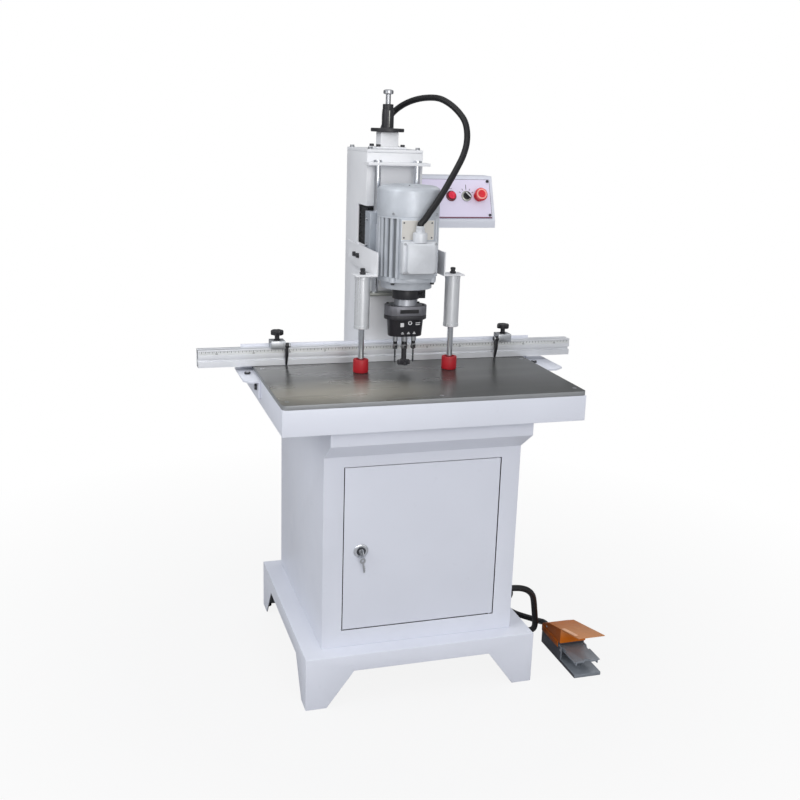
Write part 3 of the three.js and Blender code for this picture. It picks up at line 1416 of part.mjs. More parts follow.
// Foot pedal: base with a hollow rear housing, guard over it, and a treadle on a cross pin
function makePedal() {
  const half = pedalWidth / 2;
  const x0 = pedalX - half;
  const x1 = pedalX + half;
  const earHalfY = treadleEarLength / 2;
  const earBackY = housingFrontY + cutRun;
  const ears = [x0, x1 - treadleEarThickness].map((x) => block(x, x + treadleEarThickness,
    treadlePinY - earHalfY, earBackY, pedalPlateThickness / 2, treadlePinZ + treadlePinDrop));
  const entryRadius = cordRadius - pedalSheet / 2;
  addPart('pedal_base', cut(
    join(
      block(x0, x1, pedalFrontY, pedalBackY, 0, pedalPlateThickness),
      block(x0, x1, housingFrontY, pedalBackY, pedalPlateThickness / 2, pedalHousingHeight),
      ...ears,
      rodAlongX(treadlePinRadius, x0 + treadleEarThickness / 2, x1 - treadleEarThickness / 2, treadlePinY,
        treadlePinZ, slimSides),
    ),
    block(x0 + pedalSheet, x1 - pedalSheet, housingFrontY + pedalSheet, pedalBackY - pedalSheet,
      pedalPlateThickness, pedalHousingHeight - pedalSheet),
    rodAlongY(entryRadius, pedalBackY - pedalSheet - cutRun, pedalBackY + cutRun, cordEntryX, cordEntryZ,
      slimSides),
  ), pedalGrey);

  const baseZ = pedalHousingHeight + seatGap;
  const shoulderY = pedalBackY - guardShoulderSetback;
  const faceY = pedalBackY - guardFaceSetback;
  const tipY = pedalBackY - guardTipSetback;
  const outer = [
    [pedalBackY, baseZ],
    [pedalBackY, guardRearHeight],
    [shoulderY, guardShoulderHeight],
    [tipY, guardTipHeight],
    [tipY, guardTipHeight - guardSkin],
    [faceY, guardFaceHeight],
    [faceY, baseZ],
  ];
  const inner = [
    [pedalBackY - guardSkin, baseZ - cutRun],
    [pedalBackY - guardSkin, guardRearHeight - guardSkin / 2],
    [shoulderY, guardShoulderHeight - guardSkin],
    [faceY + guardSkin, guardFaceHeight - guardSkin],
    [faceY + guardSkin, baseZ - cutRun],
  ];
  addPart('pedal_guard', cut(prismAlongX(outer, x0, x1), prismAlongX(inner, x0 + guardSkin, x1 - guardSkin)),
    guardOrange);

  const treadleX0 = x0 + treadleEarThickness + treadleInset / 2;
  const treadleX1 = x1 - treadleEarThickness - treadleInset / 2;
  const treadleBackY = treadlePinY + treadlePinDrop;
  const treadleFrontY = treadleBackY - treadleLength;
  const plate = block(treadleX0, treadleX1, treadleFrontY, treadleBackY, treadleTopZ - treadleThickness,
    treadleTopZ);
  const skirts = [treadleX0, treadleX1 - pedalSheet].map((x) => block(x, x + pedalSheet, treadleFrontY,
    treadleBackY, treadleTopZ - treadleSkirt, treadleTopZ - treadleThickness / 2));
  const hub = rodAlongX(treadlePinDrop, treadleX0, treadleX1, treadlePinY, treadlePinZ, midSides);
  addPart('pedal_treadle', cut(
    join(plate, ...skirts, hub),
    rodAlongX(treadlePinRadius + seatGap, treadleX0 - cutRun, treadleX1 + cutRun, treadlePinY, treadlePinZ,
      slimSides),
  ), pedalGrey);
}

// Cord from the cabinet's gland to the pedal: it drops beside the plinth, makes a wide loop on the floor behind
// the plinth's corner and rises into the pedal's rear
function makeCord() {
  const wallX = cabinetWidth / 2 + seatGap;
  addPart('cord_gland', join(
    rodAlongX(glandThreadRadius, wallX - glandThreadLength, wallX + glandNutLength, glandY, glandZ,
      slimSides),
    rodAlongX(glandNutRadius, wallX, wallX + glandNutLength, glandY, glandZ, slimSides),
    rodAlongX(glandSleeveRadius, wallX, wallX + glandReach, glandY, glandZ, slimSides),
  ), blackPlastic);

  const route = [
    [wallX + glandReach + seatGap, glandY, glandZ],
    [310.5, -172, 229],
    [333.5, -170.5, 225.5],
    [354, -166, 217],
    [371.5, -159.5, 203.5],
    [384.5, -151, 186.5],
    [393.5, -141.5, 165.4],
    [405.5, -126.5, 126.9],
    [416.5, -112, 88.8],
    [422.5, -102, 66.2],
    [426, -89.5, 47.7],
    [427.5, -73, 32.6],
    [426.5, -54.5, 21],
    [423.5, -30.5, 12.5],
    [417, -4.5, 9.4],
    [399, 46, 9.4],
    [379, 116, 9.4],
    [358.5, 187, 9.4],
    [343.5, 243, 9.4],
    [350.7, 284, 9.4],
    [376, 313, 9.4],
    [413, 325, 9.4],
    [450.5, 316.5, 9.4],
    [478.3, 290.5, 9.4],
    [489, 253, 9.4],
    [484, 224, 9.4],
    [468.5, 199, 9.4],
    [449.5, 179, 9.4],
    [434.5, 155, 9.4],
    [428.5, 128, 9.4],
    [432, 102.5, 9.4],
    [443, 78.5, 9.4],
    [459, 55, 10.2],
    [472, 29.5, 13.8],
    [478, 1, 20.5],
    [478.2, -27, 31],
    [475.2, -53, 41.3],
    [473.6, -76, 45.8],
    [cordEntryX, pedalBackY + seatGap, cordEntryZ],
  ];
  addPart('pedal_cord', tube(route, cordRadius, cordSides, cordSteps), blackRubber);
}

// Conduit from the column's cap over the top to the terminal box. Its shares tell how far a point lies to
// the right, from the cap's gland towards the terminal box's gland, and above the cap's gland
function makeConduit() {
  const startZ = capGlandTopZ + seatGap;
  const endZ = terminalGlandTopZ + seatGap;
  const bend = conduitShares.map(([across, forward, up]) => [
    capGlandSide + conduitReach * across,
    capGlandY + (terminalGlandY - capGlandY) * forward,
    startZ + conduitRise * up,
  ]);
  const route = [
    [capGlandSide, capGlandY, startZ],
    [capGlandSide, capGlandY, startZ + conduitLead],
    ...bend,
    [0, terminalGlandY, endZ + conduitLead],
    [0, terminalGlandY, endZ],
  ];
  addPart('motor_conduit', tube(route, conduitRadius, conduitSides, conduitSteps), blackRubber);
}

makePlinth();
makeCabinet();
makeDoor();
makeElectrics();
makeTable();
makeFence();
makeFenceBracket('fence_bracket_left', -1, bracketReachLeft);
makeFenceBracket('fence_bracket_right', 1, bracketReachRight);
makeStop('left', -1);
makeStop('right', 1);
makeColumn();
makeFeed();
makeGuides();
makeCarriage();
makeMotor();
makeHead();
makeSpindles();
makeClamp('left', -1);
makeClamp('right', 1);
makeControlBox();
makePedal();
makeCord();
makeConduit();

export default machine;
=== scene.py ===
"""Vertical boring machine: the finished pieces, finishes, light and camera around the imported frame.

The model's frame is in metres: X along the fence, Y to the back and Z up. Pieces are given in
millimetres in that frame, and the helpers that make and test shapes turn them into metres.
"""

import json
import math

import bmesh
import bpy
from bpy.props import FloatProperty, FloatVectorProperty, IntProperty, PointerProperty
from mathutils import Matrix, Vector

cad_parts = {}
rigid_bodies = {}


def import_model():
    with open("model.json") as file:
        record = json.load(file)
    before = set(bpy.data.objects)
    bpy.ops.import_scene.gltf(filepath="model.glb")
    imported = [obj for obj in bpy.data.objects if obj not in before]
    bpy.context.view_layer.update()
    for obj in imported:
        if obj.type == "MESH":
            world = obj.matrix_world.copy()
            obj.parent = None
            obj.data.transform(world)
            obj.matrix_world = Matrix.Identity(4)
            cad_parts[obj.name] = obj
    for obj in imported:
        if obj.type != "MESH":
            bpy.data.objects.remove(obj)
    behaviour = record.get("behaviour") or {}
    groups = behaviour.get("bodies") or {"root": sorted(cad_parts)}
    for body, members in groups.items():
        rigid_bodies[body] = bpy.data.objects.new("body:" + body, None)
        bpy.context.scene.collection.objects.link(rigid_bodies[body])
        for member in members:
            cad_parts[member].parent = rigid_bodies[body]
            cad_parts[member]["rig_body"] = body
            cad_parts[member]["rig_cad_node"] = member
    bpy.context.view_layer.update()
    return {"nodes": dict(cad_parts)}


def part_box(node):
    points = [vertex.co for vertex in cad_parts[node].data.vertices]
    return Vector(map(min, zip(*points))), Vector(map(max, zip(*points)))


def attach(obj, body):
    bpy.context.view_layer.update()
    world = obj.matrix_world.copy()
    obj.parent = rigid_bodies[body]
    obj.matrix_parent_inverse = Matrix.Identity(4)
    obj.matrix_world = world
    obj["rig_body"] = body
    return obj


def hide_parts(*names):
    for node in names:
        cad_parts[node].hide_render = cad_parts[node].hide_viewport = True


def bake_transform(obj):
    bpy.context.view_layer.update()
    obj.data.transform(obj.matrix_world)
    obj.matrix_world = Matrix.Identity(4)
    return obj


bl_info = {
    "name": "Vertical Boring Machine",
    "version": (1, 0, 0),
    "blender": (4, 5, 0),
    "location": "View3D > Sidebar > Boring Machine",
    "description": "Builds the boring machine's finished pieces and its studio around the packed frame",
    "category": "Object",
}

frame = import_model()

SCREW_SLOTS = {"black_fastener": "black_metal", "ground_steel": "steel"}
UP = Vector((0, 0, 1))
DOWN = Vector((0, 0, -1))
FORWARD = Vector((0, -1, 0))
BACKWARD = Vector((0, 1, 0))
RIGHT = Vector((1, 0, 0))
SIDES = (("left", -1), ("right", 1))
MM = 0.001

# Fits and edges, in millimetres and degrees
WELD = 0.01
SEAT = 0.3
SHEET_EDGE = 1.3
FINE_EDGE = 0.6
CAST_EDGE = 1.6
SHORTEST_FOLD = 16
FOLD_ANGLE = 20
ROUND_ANGLE = 32
SMOOTH_ANGLE = 35

# Camera, at the photograph's viewpoint, in metres and degrees
CAMERA_PLACE = (-0.8447, -2.6834, 1.5186)
CAMERA_YAW = 17.548
CAMERA_PITCH = 15.06
CAMERA_ROLL = 1.865
CAMERA_LENS = 46.46
CAMERA_SENSOR = 36
CAMERA_RANGE = (0.05, 200)

# Studio: each lamp's name, place, size, power and tint, and the point that all of them face
LAMPS = (
    ("lamp_key", (-0.3, -3.7, 2.0), 2.6, 47, (1.0, 0.985, 0.975)),
    ("lamp_fill", (-3.0, -1.0, 2.9), 2.4, 40, (0.98, 0.99, 1.0)),
    ("lamp_top", (-0.3, -0.3, 3.9), 2.2, 10, (1.0, 1.0, 1.0)),
    ("lamp_rim", (2.6, 2.2, 3.2), 1.6, 11, (1.0, 1.0, 1.0)),
)
LAMP_TARGET = (0, 0, 0.8)
FLOOR_SIZE = 60
FLOOR_COLOUR = (0.46, 0.46, 0.47, 1)

# Pedal cord, in metres: from the gland in the cabinet's side, over the floor in a loop, to the pedal
CORD_ROUTE = (
    (0.2986, -0.172, 0.229), (0.3105, -0.172, 0.229), (0.3335, -0.1705, 0.2255),
    (0.354, -0.166, 0.217), (0.3715, -0.1595, 0.2035), (0.3845, -0.151, 0.1865),
    (0.3935, -0.1415, 0.1654), (0.4055, -0.1265, 0.1269), (0.4165, -0.112, 0.0888),
    (0.4225, -0.102, 0.0662), (0.426, -0.0895, 0.0477), (0.4275, -0.073, 0.0326),
    (0.4265, -0.0545, 0.021), (0.4235, -0.0305, 0.0125), (0.417, -0.0045, 0.0094),
    (0.399, 0.046, 0.0094), (0.379, 0.116, 0.0094), (0.3585, 0.187, 0.0094),
    (0.3435, 0.243, 0.0094), (0.3507, 0.284, 0.0094), (0.376, 0.313, 0.0094),
    (0.413, 0.325, 0.0094), (0.4505, 0.3165, 0.0094), (0.4783, 0.2905, 0.0094),
    (0.489, 0.253, 0.0094), (0.484, 0.224, 0.0094), (0.4685, 0.199, 0.0094),
    (0.4495, 0.179, 0.0094), (0.4345, 0.155, 0.0094), (0.4285, 0.128, 0.0094),
    (0.432, 0.1025, 0.0094), (0.443, 0.0785, 0.0094), (0.459, 0.055, 0.0102),
    (0.472, 0.0295, 0.0138), (0.478, 0.001, 0.0205), (0.4782, -0.027, 0.031),
    (0.4752, -0.053, 0.0413), (0.4736, -0.076, 0.0458), (0.4735, -0.0937, 0.046),
)
CORD_SIDES = 20
CORD_STEPS = 9

# Motor conduit, in metres: shares of its reach to the right, of its way forward and of its rise
CONDUIT_START = (0.008, 0.273)
CONDUIT_RADIUS = 0.0085
CONDUIT_REACH = 0.164
CONDUIT_RISE = 0.119
CONDUIT_LEAD = 0.012
CONDUIT_SHARES = (
    (0.05, 0.012, 0.38), (0.15, 0.061, 0.64), (0.27, 0.124, 0.82), (0.41, 0.197, 0.94),
    (0.56, 0.284, 1.0), (0.71, 0.381, 0.99), (0.82, 0.454, 0.89), (0.92, 0.527, 0.72),
    (0.99, 0.59, 0.51), (1.0, 0.634, 0.29), (0.96, 0.682, 0.03), (0.85, 0.746, -0.24),
    (0.7, 0.804, -0.51), (0.55, 0.855, -0.76), (0.39, 0.906, -1.02), (0.23, 0.949, -1.27),
    (0.11, 0.979, -1.44), (0.03, 0.994, -1.57),
)

# All that follows is in millimetres. Control panel: its crease, and its group's place and lean
CREASE_HEIGHT = 1258
CREASE_DROP = 8
PANEL_PLACE = (80.3, 133, CREASE_HEIGHT - CREASE_DROP)
PANEL_LEAN = 47
PANEL_RISE = 114 + CREASE_DROP
PANEL_WIDTH = 238
PANEL_FIRST = 61
PANEL_PITCH = 46.5
PANEL_SHARE = 0.5515
PANEL_FACE = -2.3
STOP_SHIFT = -8

# The fence rule's upper and lower edge below the rail's top, and the flip stops' hinge (Y and Z)
RULE_TOP = 4.2
RULE_LOW = 13.8
STOP_HINGE = (54, 917.6)

# The clamp arms' outer faces, where the solid's bolt heads begin on them, and the screws' height
ARM_FACE = 96
ARM_BOLTS_FROM = 150.5
ARM_SCREW_HEIGHT = 1155

# The motor's fins, the face of its bare plate and the terminal boss's axis from the box's front
FIN_ROOT = 75
FIN_RIM = 83
PLATE_FACE = -119
BOSS_AXIS = 22.5

# Painted shade in the column's windows, a pleated black sheet: place on the right, width and height,
# depth of a pleat and thickness
SHADE_PLACE = Vector((70.5, 150, 1235))
SHADE_WIDTH = 80
SHADE_HEIGHT = 130
SHADE_PLEAT = 1.6
SHADE_THICKNESS = 0.8

# The painted highlight strip on the pedal's hood (Y, Z and rise in degrees), the treadle's lips and its
# axis
STRIP_START = (-217, 104.1)
STRIP_RISE = 13.9
WING_LENGTH = 62
TREADLE_AXIS = (-222, 39)


# Selection and edit mode

def start_clean():
    """Leaves edit mode and deselects everything."""
    if bpy.context.object is not None and bpy.context.object.mode != "OBJECT":
        close_mesh()
    bpy.ops.object.select_all(action="DESELECT")


def pick(piece):
    """Makes one piece the only selected and the active object."""
    start_clean()
    bpy.context.view_layer.objects.active = piece
    piece.select_set(True)


def open_mesh(piece, kind="FACE"):
    """Opens a piece in edit mode with that kind of selection."""
    pick(piece)
    bpy.context.tool_settings.mesh_select_mode = (kind == "VERT", kind == "EDGE", kind == "FACE")
    bpy.ops.object.mode_set(mode="EDIT")


def open_whole(piece, kind="FACE"):
    """Opens a piece with all of its mesh selected."""
    open_mesh(piece, kind)
    bpy.ops.mesh.select_all(action="SELECT")


def close_mesh():
    """Goes back to object mode."""
    bpy.ops.object.mode_set(mode="OBJECT")


def clear_choice(piece):
    """Deselects all of a mesh in object mode."""
    pick(piece)
    for group in (piece.data.vertices, piece.data.edges, piece.data.polygons):
        group.foreach_set("select", [False] * len(group))


def choose_faces(piece, test):
    """Opens the mesh with the faces selected whose middle and normal pass the test."""
    clear_choice(piece)
    for face in piece.data.polygons:
        face.select = bool(test(face.center / MM, face.normal))
    open_mesh(piece, "FACE")


def choose_points(piece, test):
    """Opens the mesh with the points selected whose place passes the test."""
    clear_choice(piece)
    for point in piece.data.vertices:
        point.select = bool(test(point.co / MM))
    open_mesh(piece, "VERT")


def squeezed(piece, test, shares, centre):
    """Draws the points that pass the test towards a centre."""
    choose_points(piece, test)
    bpy.ops.transform.resize(value=shares, center_override=tuple(Vector(centre) * MM))
    close_mesh()


def pushed(piece, test, way):
    """Moves the points that pass the test."""
    choose_points(piece, test)
    bpy.ops.transform.translate(value=tuple(Vector(way) * MM))
    close_mesh()


def face_outwards(piece):
    """Merges doubles and turns all faces outwards."""
    open_whole(piece)
    bpy.ops.mesh.remove_doubles(threshold=WELD * MM)
    bpy.ops.mesh.normals_make_consistent(inside=False)
    close_mesh()


# Places

def move_by(way):
    """A move by millimetres."""
    return Matrix.Translation(Vector(way) * MM)


def turn_by(degrees, axis):
    """A turn about an axis of the frame."""
    return Matrix.Rotation(math.radians(degrees), 4, axis)


def box_of(node):
    """A node's lowest and highest corner and its middle, in millimetres."""
    low, high = (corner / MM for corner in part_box(node))
    return low, high, (low + high) / 2


def height_of(node):
    """A node's height in millimetres."""
    low, high, _ = box_of(node)
    return high.z - low.z


def edge_of(low, high, side):
    """The X of a box's left or right edge."""
    return low.x if side < 0 else high.x


def corners(first, last):
    """The numbered corners of a rectangle, given by two opposite ones."""
    return enumerate((a, b) for b in (first[1], last[1]) for a in (first[0], last[0]))


def spokes():
    """The four numbered directions between the axes."""
    for index in range(4):
        angle = math.radians(45 + 90 * index)
        yield index, Vector((math.cos(angle), math.sin(angle), 0))


# Shapes

def named(piece, name):
    """Names an object and its mesh."""
    piece.name = name
    piece.data.name = name
    return piece


def placed(piece, centre, direction):
    """Puts a piece that was made along +Z at the origin in its place, in its mesh."""
    way = UP.rotation_difference(Vector(direction)).to_matrix().to_4x4()
    piece.data.transform(move_by(centre) @ way)
    return piece


def soften(piece, width, segments=2, angle=ROUND_ANGLE):
    """Rounds all edges that are sharper than an angle."""
    pick(piece)
    edge = piece.modifiers.new("rounded_edge", "BEVEL")
    edge.width = width * MM
    edge.segments = segments
    edge.limit_method = "ANGLE"
    edge.angle_limit = math.radians(angle)
    bpy.ops.object.modifier_apply(modifier=edge.name)
    return piece


def fold_edges(piece, width, segments, shortest):
    """Rounds the long sharp edges of a sheet or casting, as a press brake or a mould leaves them."""
    clear_choice(piece)
    shape = bmesh.new()
    shape.from_mesh(piece.data)
    chosen = [
        edge.index for edge in shape.edges
        if edge.is_manifold and edge.calc_length() > shortest * MM
        and edge.calc_face_angle(0) > math.radians(FOLD_ANGLE)
    ]
    shape.free()
    for index in chosen:
        piece.data.edges[index].select = True
    open_mesh(piece, "EDGE")
    bpy.ops.mesh.bevel(offset=width * MM, segments=segments, affect="EDGES", clamp_overlap=True)
    close_mesh()
    return piece


def flat_disc(name, radius, height, sides, fill="NGON"):
    """A disc, or a circle, at a height."""
    start_clean()
    bpy.ops.mesh.primitive_circle_add(
        vertices=sides, radius=radius * MM, fill_type=fill, location=(0, 0, 0))
    piece = named(bpy.context.object, name)
    piece.data.transform(move_by((0, 0, height)))
    return piece


def extrude_up(rise):
    """Extrudes what is selected along Z."""
    bpy.ops.mesh.extrude_region_move(TRANSFORM_OT_translate={"value": (0, 0, rise * MM)})


def turned(name, profile, centre=(0, 0, 0), direction=UP, sides=None, ring=False):
    """Extrudes a disc, or a ring, step by step along a profile of radius and height pairs."""
    radius, height = profile[0]
    sides = sides or bpy.context.scene.boring_sizes.round_sides
    piece = flat_disc(name, radius, height, sides, "NOTHING" if ring else "NGON")
    open_whole(piece, "VERT" if ring else "FACE")
    for next_radius, next_height in profile[1:]:
        extrude_up(next_height - height)
        if next_radius != radius:
            share = next_radius / radius
            bpy.ops.transform.resize(value=(share, share, 1), center_override=(0, 0, next_height * MM))
        radius, height = next_radius, next_height
    close_mesh()
    face_outwards(piece)
    return placed(piece, centre, direction)


def twist_drill(name, radius, low_z, high_z, hand):
    """A two-flute drill, extruded downwards in short turns, with a point."""
    drill = flat_disc(name, radius, high_z, 16)
    squeezed(drill, lambda co: abs(co.y) > radius * 0.8, (1, 0.4, 1), (0, 0, high_z))
    open_whole(drill)
    steps = 26
    drop = (high_z - low_z - radius) / steps
    height = high_z
    for _ in range(steps):
        extrude_up(-drop)
        height -= drop
        bpy.ops.transform.rotate(
            value=hand * math.radians(32), orient_axis="Z", center_override=(0, 0, height * MM))
    extrude_up(-radius)
    bpy.ops.transform.resize(value=(0.16, 0.16, 1), center_override=(0, 0, low_z * MM))
    close_mesh()
    face_outwards(drill)
    return drill


def plain_block(name, low, high):
    """A cube at its size and place."""
    start_clean()
    low, high = Vector(low) * MM, Vector(high) * MM
    bpy.ops.mesh.primitive_cube_add(size=1, location=(0, 0, 0))
    piece = named(bpy.context.object, name)
    piece.data.transform(Matrix.Translation((low + high) / 2) @ Matrix.Diagonal((*(high - low), 1)))
    return piece


def boxed(name, low, high, edge=FINE_EDGE, segments=2):
    """A block with all edges rounded."""
    return soften(plain_block(name, low, high), edge, segments)


def pressed_lid(name, low, high, corner, edge):
    """A plate in the XZ plane with round corners and softened edges."""
    piece = plain_block(name, low, high)
    clear_choice(piece)
    points = piece.data.vertices
    for side in piece.data.edges:
        run = points[side.vertices[0]].co - points[side.vertices[1]].co
        side.select = abs(run.y) > (high[1] - low[1]) * MM / 2
    open_mesh(piece, "EDGE")
    bpy.ops.mesh.bevel(offset=corner * MM, segments=6, affect="EDGES")
    close_mesh()
    return soften(piece, edge, 3)


def folded_copy(node, name, width, segments=3, shortest=SHORTEST_FOLD):
    """A welded copy of a CAD node with its long edges rounded."""
    pick(frame["nodes"][node])
    bpy.ops.object.duplicate(linked=False)
    piece = named(bpy.context.object, name)
    del piece["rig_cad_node"]
    bpy.ops.mesh.customdata_custom_splitnormals_clear()
    open_whole(piece)
    bpy.ops.mesh.remove_doubles(threshold=WELD * MM)
    bpy.ops.mesh.dissolve_limited(angle_limit=math.radians(1))
    close_mesh()
    return fold_edges(piece, width, segments, shortest)


def joined(name, first, *others):
    """Joins pieces into the first, under one name."""
    pick(first)
    for other in others:
        other.select_set(True)
    bpy.ops.object.join()
    return named(first, name)


def carved(piece, tool):
    """Cuts a tool out of a piece and removes it."""
    pick(piece)
    cut = piece.modifiers.new("cut", "BOOLEAN")
    cut.operation = "DIFFERENCE"
    cut.solver = "EXACT"
    cut.object = tool
    bpy.ops.object.modifier_apply(modifier=cut.name)
    bpy.data.objects.remove(tool)


# Finished pieces

def settle(piece, finish, node, slot=None, angle=SMOOTH_ANGLE):
    """Gives a piece its shading, finish and body. Without a slot it stands for its node, which is
    hidden.
    """
    pick(piece)
    bpy.ops.object.shade_smooth_by_angle(angle=math.radians(angle))
    piece.data.materials.clear()
    piece.data.materials.append(finish_of(finish))
    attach(piece, frame["nodes"][node]["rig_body"])
    if slot is None:
        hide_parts(node)
    return piece


def covered(node, name, finish, width, segments=3, shortest=SHORTEST_FOLD, angle=SMOOTH_ANGLE):
    """A folded copy that stands for its node."""
    return settle(folded_copy(node, name, width, segments, shortest), finish, node, angle=angle)


def spun(node, name, finish, profile, sides=None, ring=False):
    """A turned piece that stands for an upright node, from the middle of its foot."""
    low, _, middle = box_of(node)
    foot = (middle.x, middle.y, low.z)
    return settle(turned(name, profile, foot, UP, sides, ring), finish, node)


def paint_where(piece, finish, test):
    """Gives the faces that pass the test another finish."""
    piece.data.materials.append(finish_of(finish))
    index = len(piece.data.materials) - 1
    for face in piece.data.polygons:
        if test(face.center / MM, face.normal):
            face.material_index = index


def cap_screw(name, node, radius, height, place, direction, finish="black_fastener"):
    """A round cap screw with a socket in its head."""
    rim = radius * 0.12
    piece = turned(name, [
        (radius, 0), (radius, height - rim), (radius - rim, height), (radius * 0.56, height),
        (radius * 0.5, height - rim), (radius * 0.48, height * 0.45),
    ], place, direction, sides=18)
    settle(piece, finish, node, SCREW_SLOTS[finish])


def hex_bolt(name, node, radius, height, place, direction):
    """A hexagon bolt on a washer."""
    washer = turned(name, [
        (radius * 1.2, 0), (radius * 1.2, height * 0.18), (radius * 1.1, height * 0.24),
    ], place, direction, sides=24)
    head = turned(name + "_head", [
        (radius, height * 0.24), (radius, height * 0.88), (radius * 0.86, height),
    ], place, direction, sides=6)
    settle(joined(name, washer, head), "ground_steel", node, "steel")


# Finishes

def paint(red, green, blue):
    """A colour that is given as it looks on screen, from 0 to 255, as the shader needs it."""
    def linear(value):
        share = value / 255
        return share / 12.92 if share <= 0.04045 else ((share + 0.055) / 1.055) ** 2.4
    return (linear(red), linear(green), linear(blue))


def toned(colour, share):
    """A colour made lighter or darker."""
    return tuple(min(1, value * share) for value in colour[:3])


def feed(tree, sockets, **values):
    """Gives each named socket its value, or links it to an output."""
    for name, value in values.items():
        socket = sockets[name.replace("_", " ")]
        if isinstance(value, bpy.types.NodeSocket):
            tree.links.new(value, socket)
        else:
            socket.default_value = value


def add_node(tree, kind, operation=None, **values):
    """A shader node with its sockets fed."""
    node = tree.nodes.new("ShaderNode" + kind)
    if operation is not None:
        node.operation = operation
    feed(tree, node.inputs, **values)
    return node


def bare_material(name, metallic=0.0, **values):
    """A material, its nodes and its shader, with the values that are the same all over."""
    material = bpy.data.materials.new(name)
    material.use_nodes = True
    tree = material.node_tree
    shader = tree.nodes["Principled BSDF"]
    feed(tree, shader.inputs, Metallic=metallic, **values)
    return material, tree, shader


def pattern_place(tree, stretch=(1, 1, 1), source="Object"):
    """The place on the piece, stretched for a pattern that runs one way."""
    where = add_node(tree, "TexCoord").outputs[source]
    return add_node(tree, "Mapping", Vector=where, Scale=stretch).outputs["Vector"]


def clouds(tree, place, scale, detail=3.0, roughness=0.5):
    """Soft noise."""
    noise = add_node(tree, "TexNoise", Vector=place, Scale=scale, Detail=detail, Roughness=roughness)
    return noise.outputs["Fac"]


def ranged(tree, value, low, high, from_low=0.35, from_high=0.65):
    """A value spread over another range."""
    spread = add_node(tree, "MapRange", Value=value, From_Min=from_low, From_Max=from_high,
                      To_Min=low, To_Max=high)
    return spread.outputs["Result"]


def mixed(tree, share, first, second):
    """A colour between two, each a tuple or a socket."""
    mix = add_node(tree, "Mix")
    mix.data_type = "RGBA"
    feed(tree, mix.inputs, Factor=share)
    for key, colour in (("A", first), ("B", second)):
        socket = next(s for s in mix.inputs if s.name == key and s.type == "RGBA")
        if isinstance(colour, tuple):
            socket.default_value = (*colour[:3], 1)
        else:
            tree.links.new(colour, socket)
    return next(s for s in mix.outputs if s.type == "RGBA")


def calculated(tree, operation, first, second):
    """One sum of two values, each a number or a socket."""
    node = add_node(tree, "Math", operation)
    for socket, value in zip(node.inputs, (first, second)):
        if isinstance(value, (int, float)):
            socket.default_value = value
        else:
            tree.links.new(value, socket)
    return node.outputs["Value"]


def distance(tree, stretch, centre):
    """How far a place on the stretched piece is from a centre."""
    reach = add_node(tree, "VectorMath", "DISTANCE")
    tree.links.new(pattern_place(tree, stretch), reach.inputs[0])
    reach.inputs[1].default_value = centre
    return reach.outputs["Value"]


def parts_of(tree, place):
    """The X, Y and Z of a place."""
    return list(add_node(tree, "SeparateXYZ", Vector=place).outputs)


def blended(tree, share, first, second):
    """A mix of two shaders."""
    mix = add_node(tree, "MixShader", Fac=share)
    tree.links.new(first, mix.inputs[1])
    tree.links.new(second, mix.inputs[2])
    return mix.outputs["Shader"]


def shown(tree, shader, colour, rough, height=None, strength=0.1, depth=0.0002):
    """Sends a colour, a roughness and bump from a height to the shader."""
    feed(tree, shader.inputs, Base_Color=colour, Roughness=rough)
    if height is not None:
        bump = add_node(tree, "Bump", Height=height, Strength=strength, Distance=depth)
        feed(tree, shader.inputs, Normal=bump.outputs["Normal"])


def recoloured(material, share, second, first=None):
    """Mixes the material's own colour with another one."""
    tree = material.node_tree
    shader = tree.nodes["Principled BSDF"]
    own = shader.inputs["Base Color"].links[0].from_socket
    colours = (own, second) if first is None else (first, own)
    feed(tree, shader.inputs, Base_Color=mixed(tree, share, *colours))
    return material


def powder_coat(name, colour):
    """Powder-coated sheet: a faint orange peel, broad soft tone and patchy gloss."""
    material, tree, shader = bare_material(name, Coat_Weight=0.12, Coat_Roughness=0.22)
    place = pattern_place(tree)
    broad = ranged(tree, clouds(tree, place, 2.6), 0, 1)
    scuff = ranged(tree, clouds(tree, place, 38, 6, 0.7), 0, 1, 0.62, 0.78)
    tone = mixed(tree, broad, toned(colour, 0.965), toned(colour, 1.015))
    shown(tree, shader, mixed(tree, scuff, tone, toned(colour, 0.93)),
          ranged(tree, clouds(tree, place, 17, 4), 0.34, 0.46), clouds(tree, place, 620, 2), 0.1, 0.0003)
    return material


def cast_enamel(name, colour, metallic=0.3, grain=0.28, gloss=0.5):
    """Silver enamel on a casting: sandy grain and darker hollows."""
    material, tree, shader = bare_material(
        name, metallic, Coat_Weight=0.16 * gloss, Coat_Roughness=0.3, Specular_IOR_Level=gloss)
    place = pattern_place(tree)
    blotch = ranged(tree, clouds(tree, place, 22, 5, 0.6), 0, 1)
    shown(tree, shader, mixed(tree, blotch, toned(colour, 0.93), toned(colour, 1.04)),
          ranged(tree, clouds(tree, place, 60, 3), 0.38, 0.52), clouds(tree, place, 420, 4, 0.6),
          grain, 0.0005)
    return material


def groove_shaded_enamel(name, colour):
    """Silver enamel on the motor's fins, with painted shade that darkens it towards the root of the
    grooves.
    """
    material = cast_enamel(name, colour)
    _, high, middle = box_of("motor_body")
    reach = distance(material.node_tree, (1, 1, 0), (middle.x * MM, (high.y - FIN_RIM) * MM, 0))
    # Painted shade: darker towards the fins' roots.
    unshaded = ranged(material.node_tree, reach, 0, 1, (FIN_ROOT + 1) * MM, (FIN_RIM - 2) * MM)
    return recoloured(material, unshaded, None, toned(colour, 0.42))


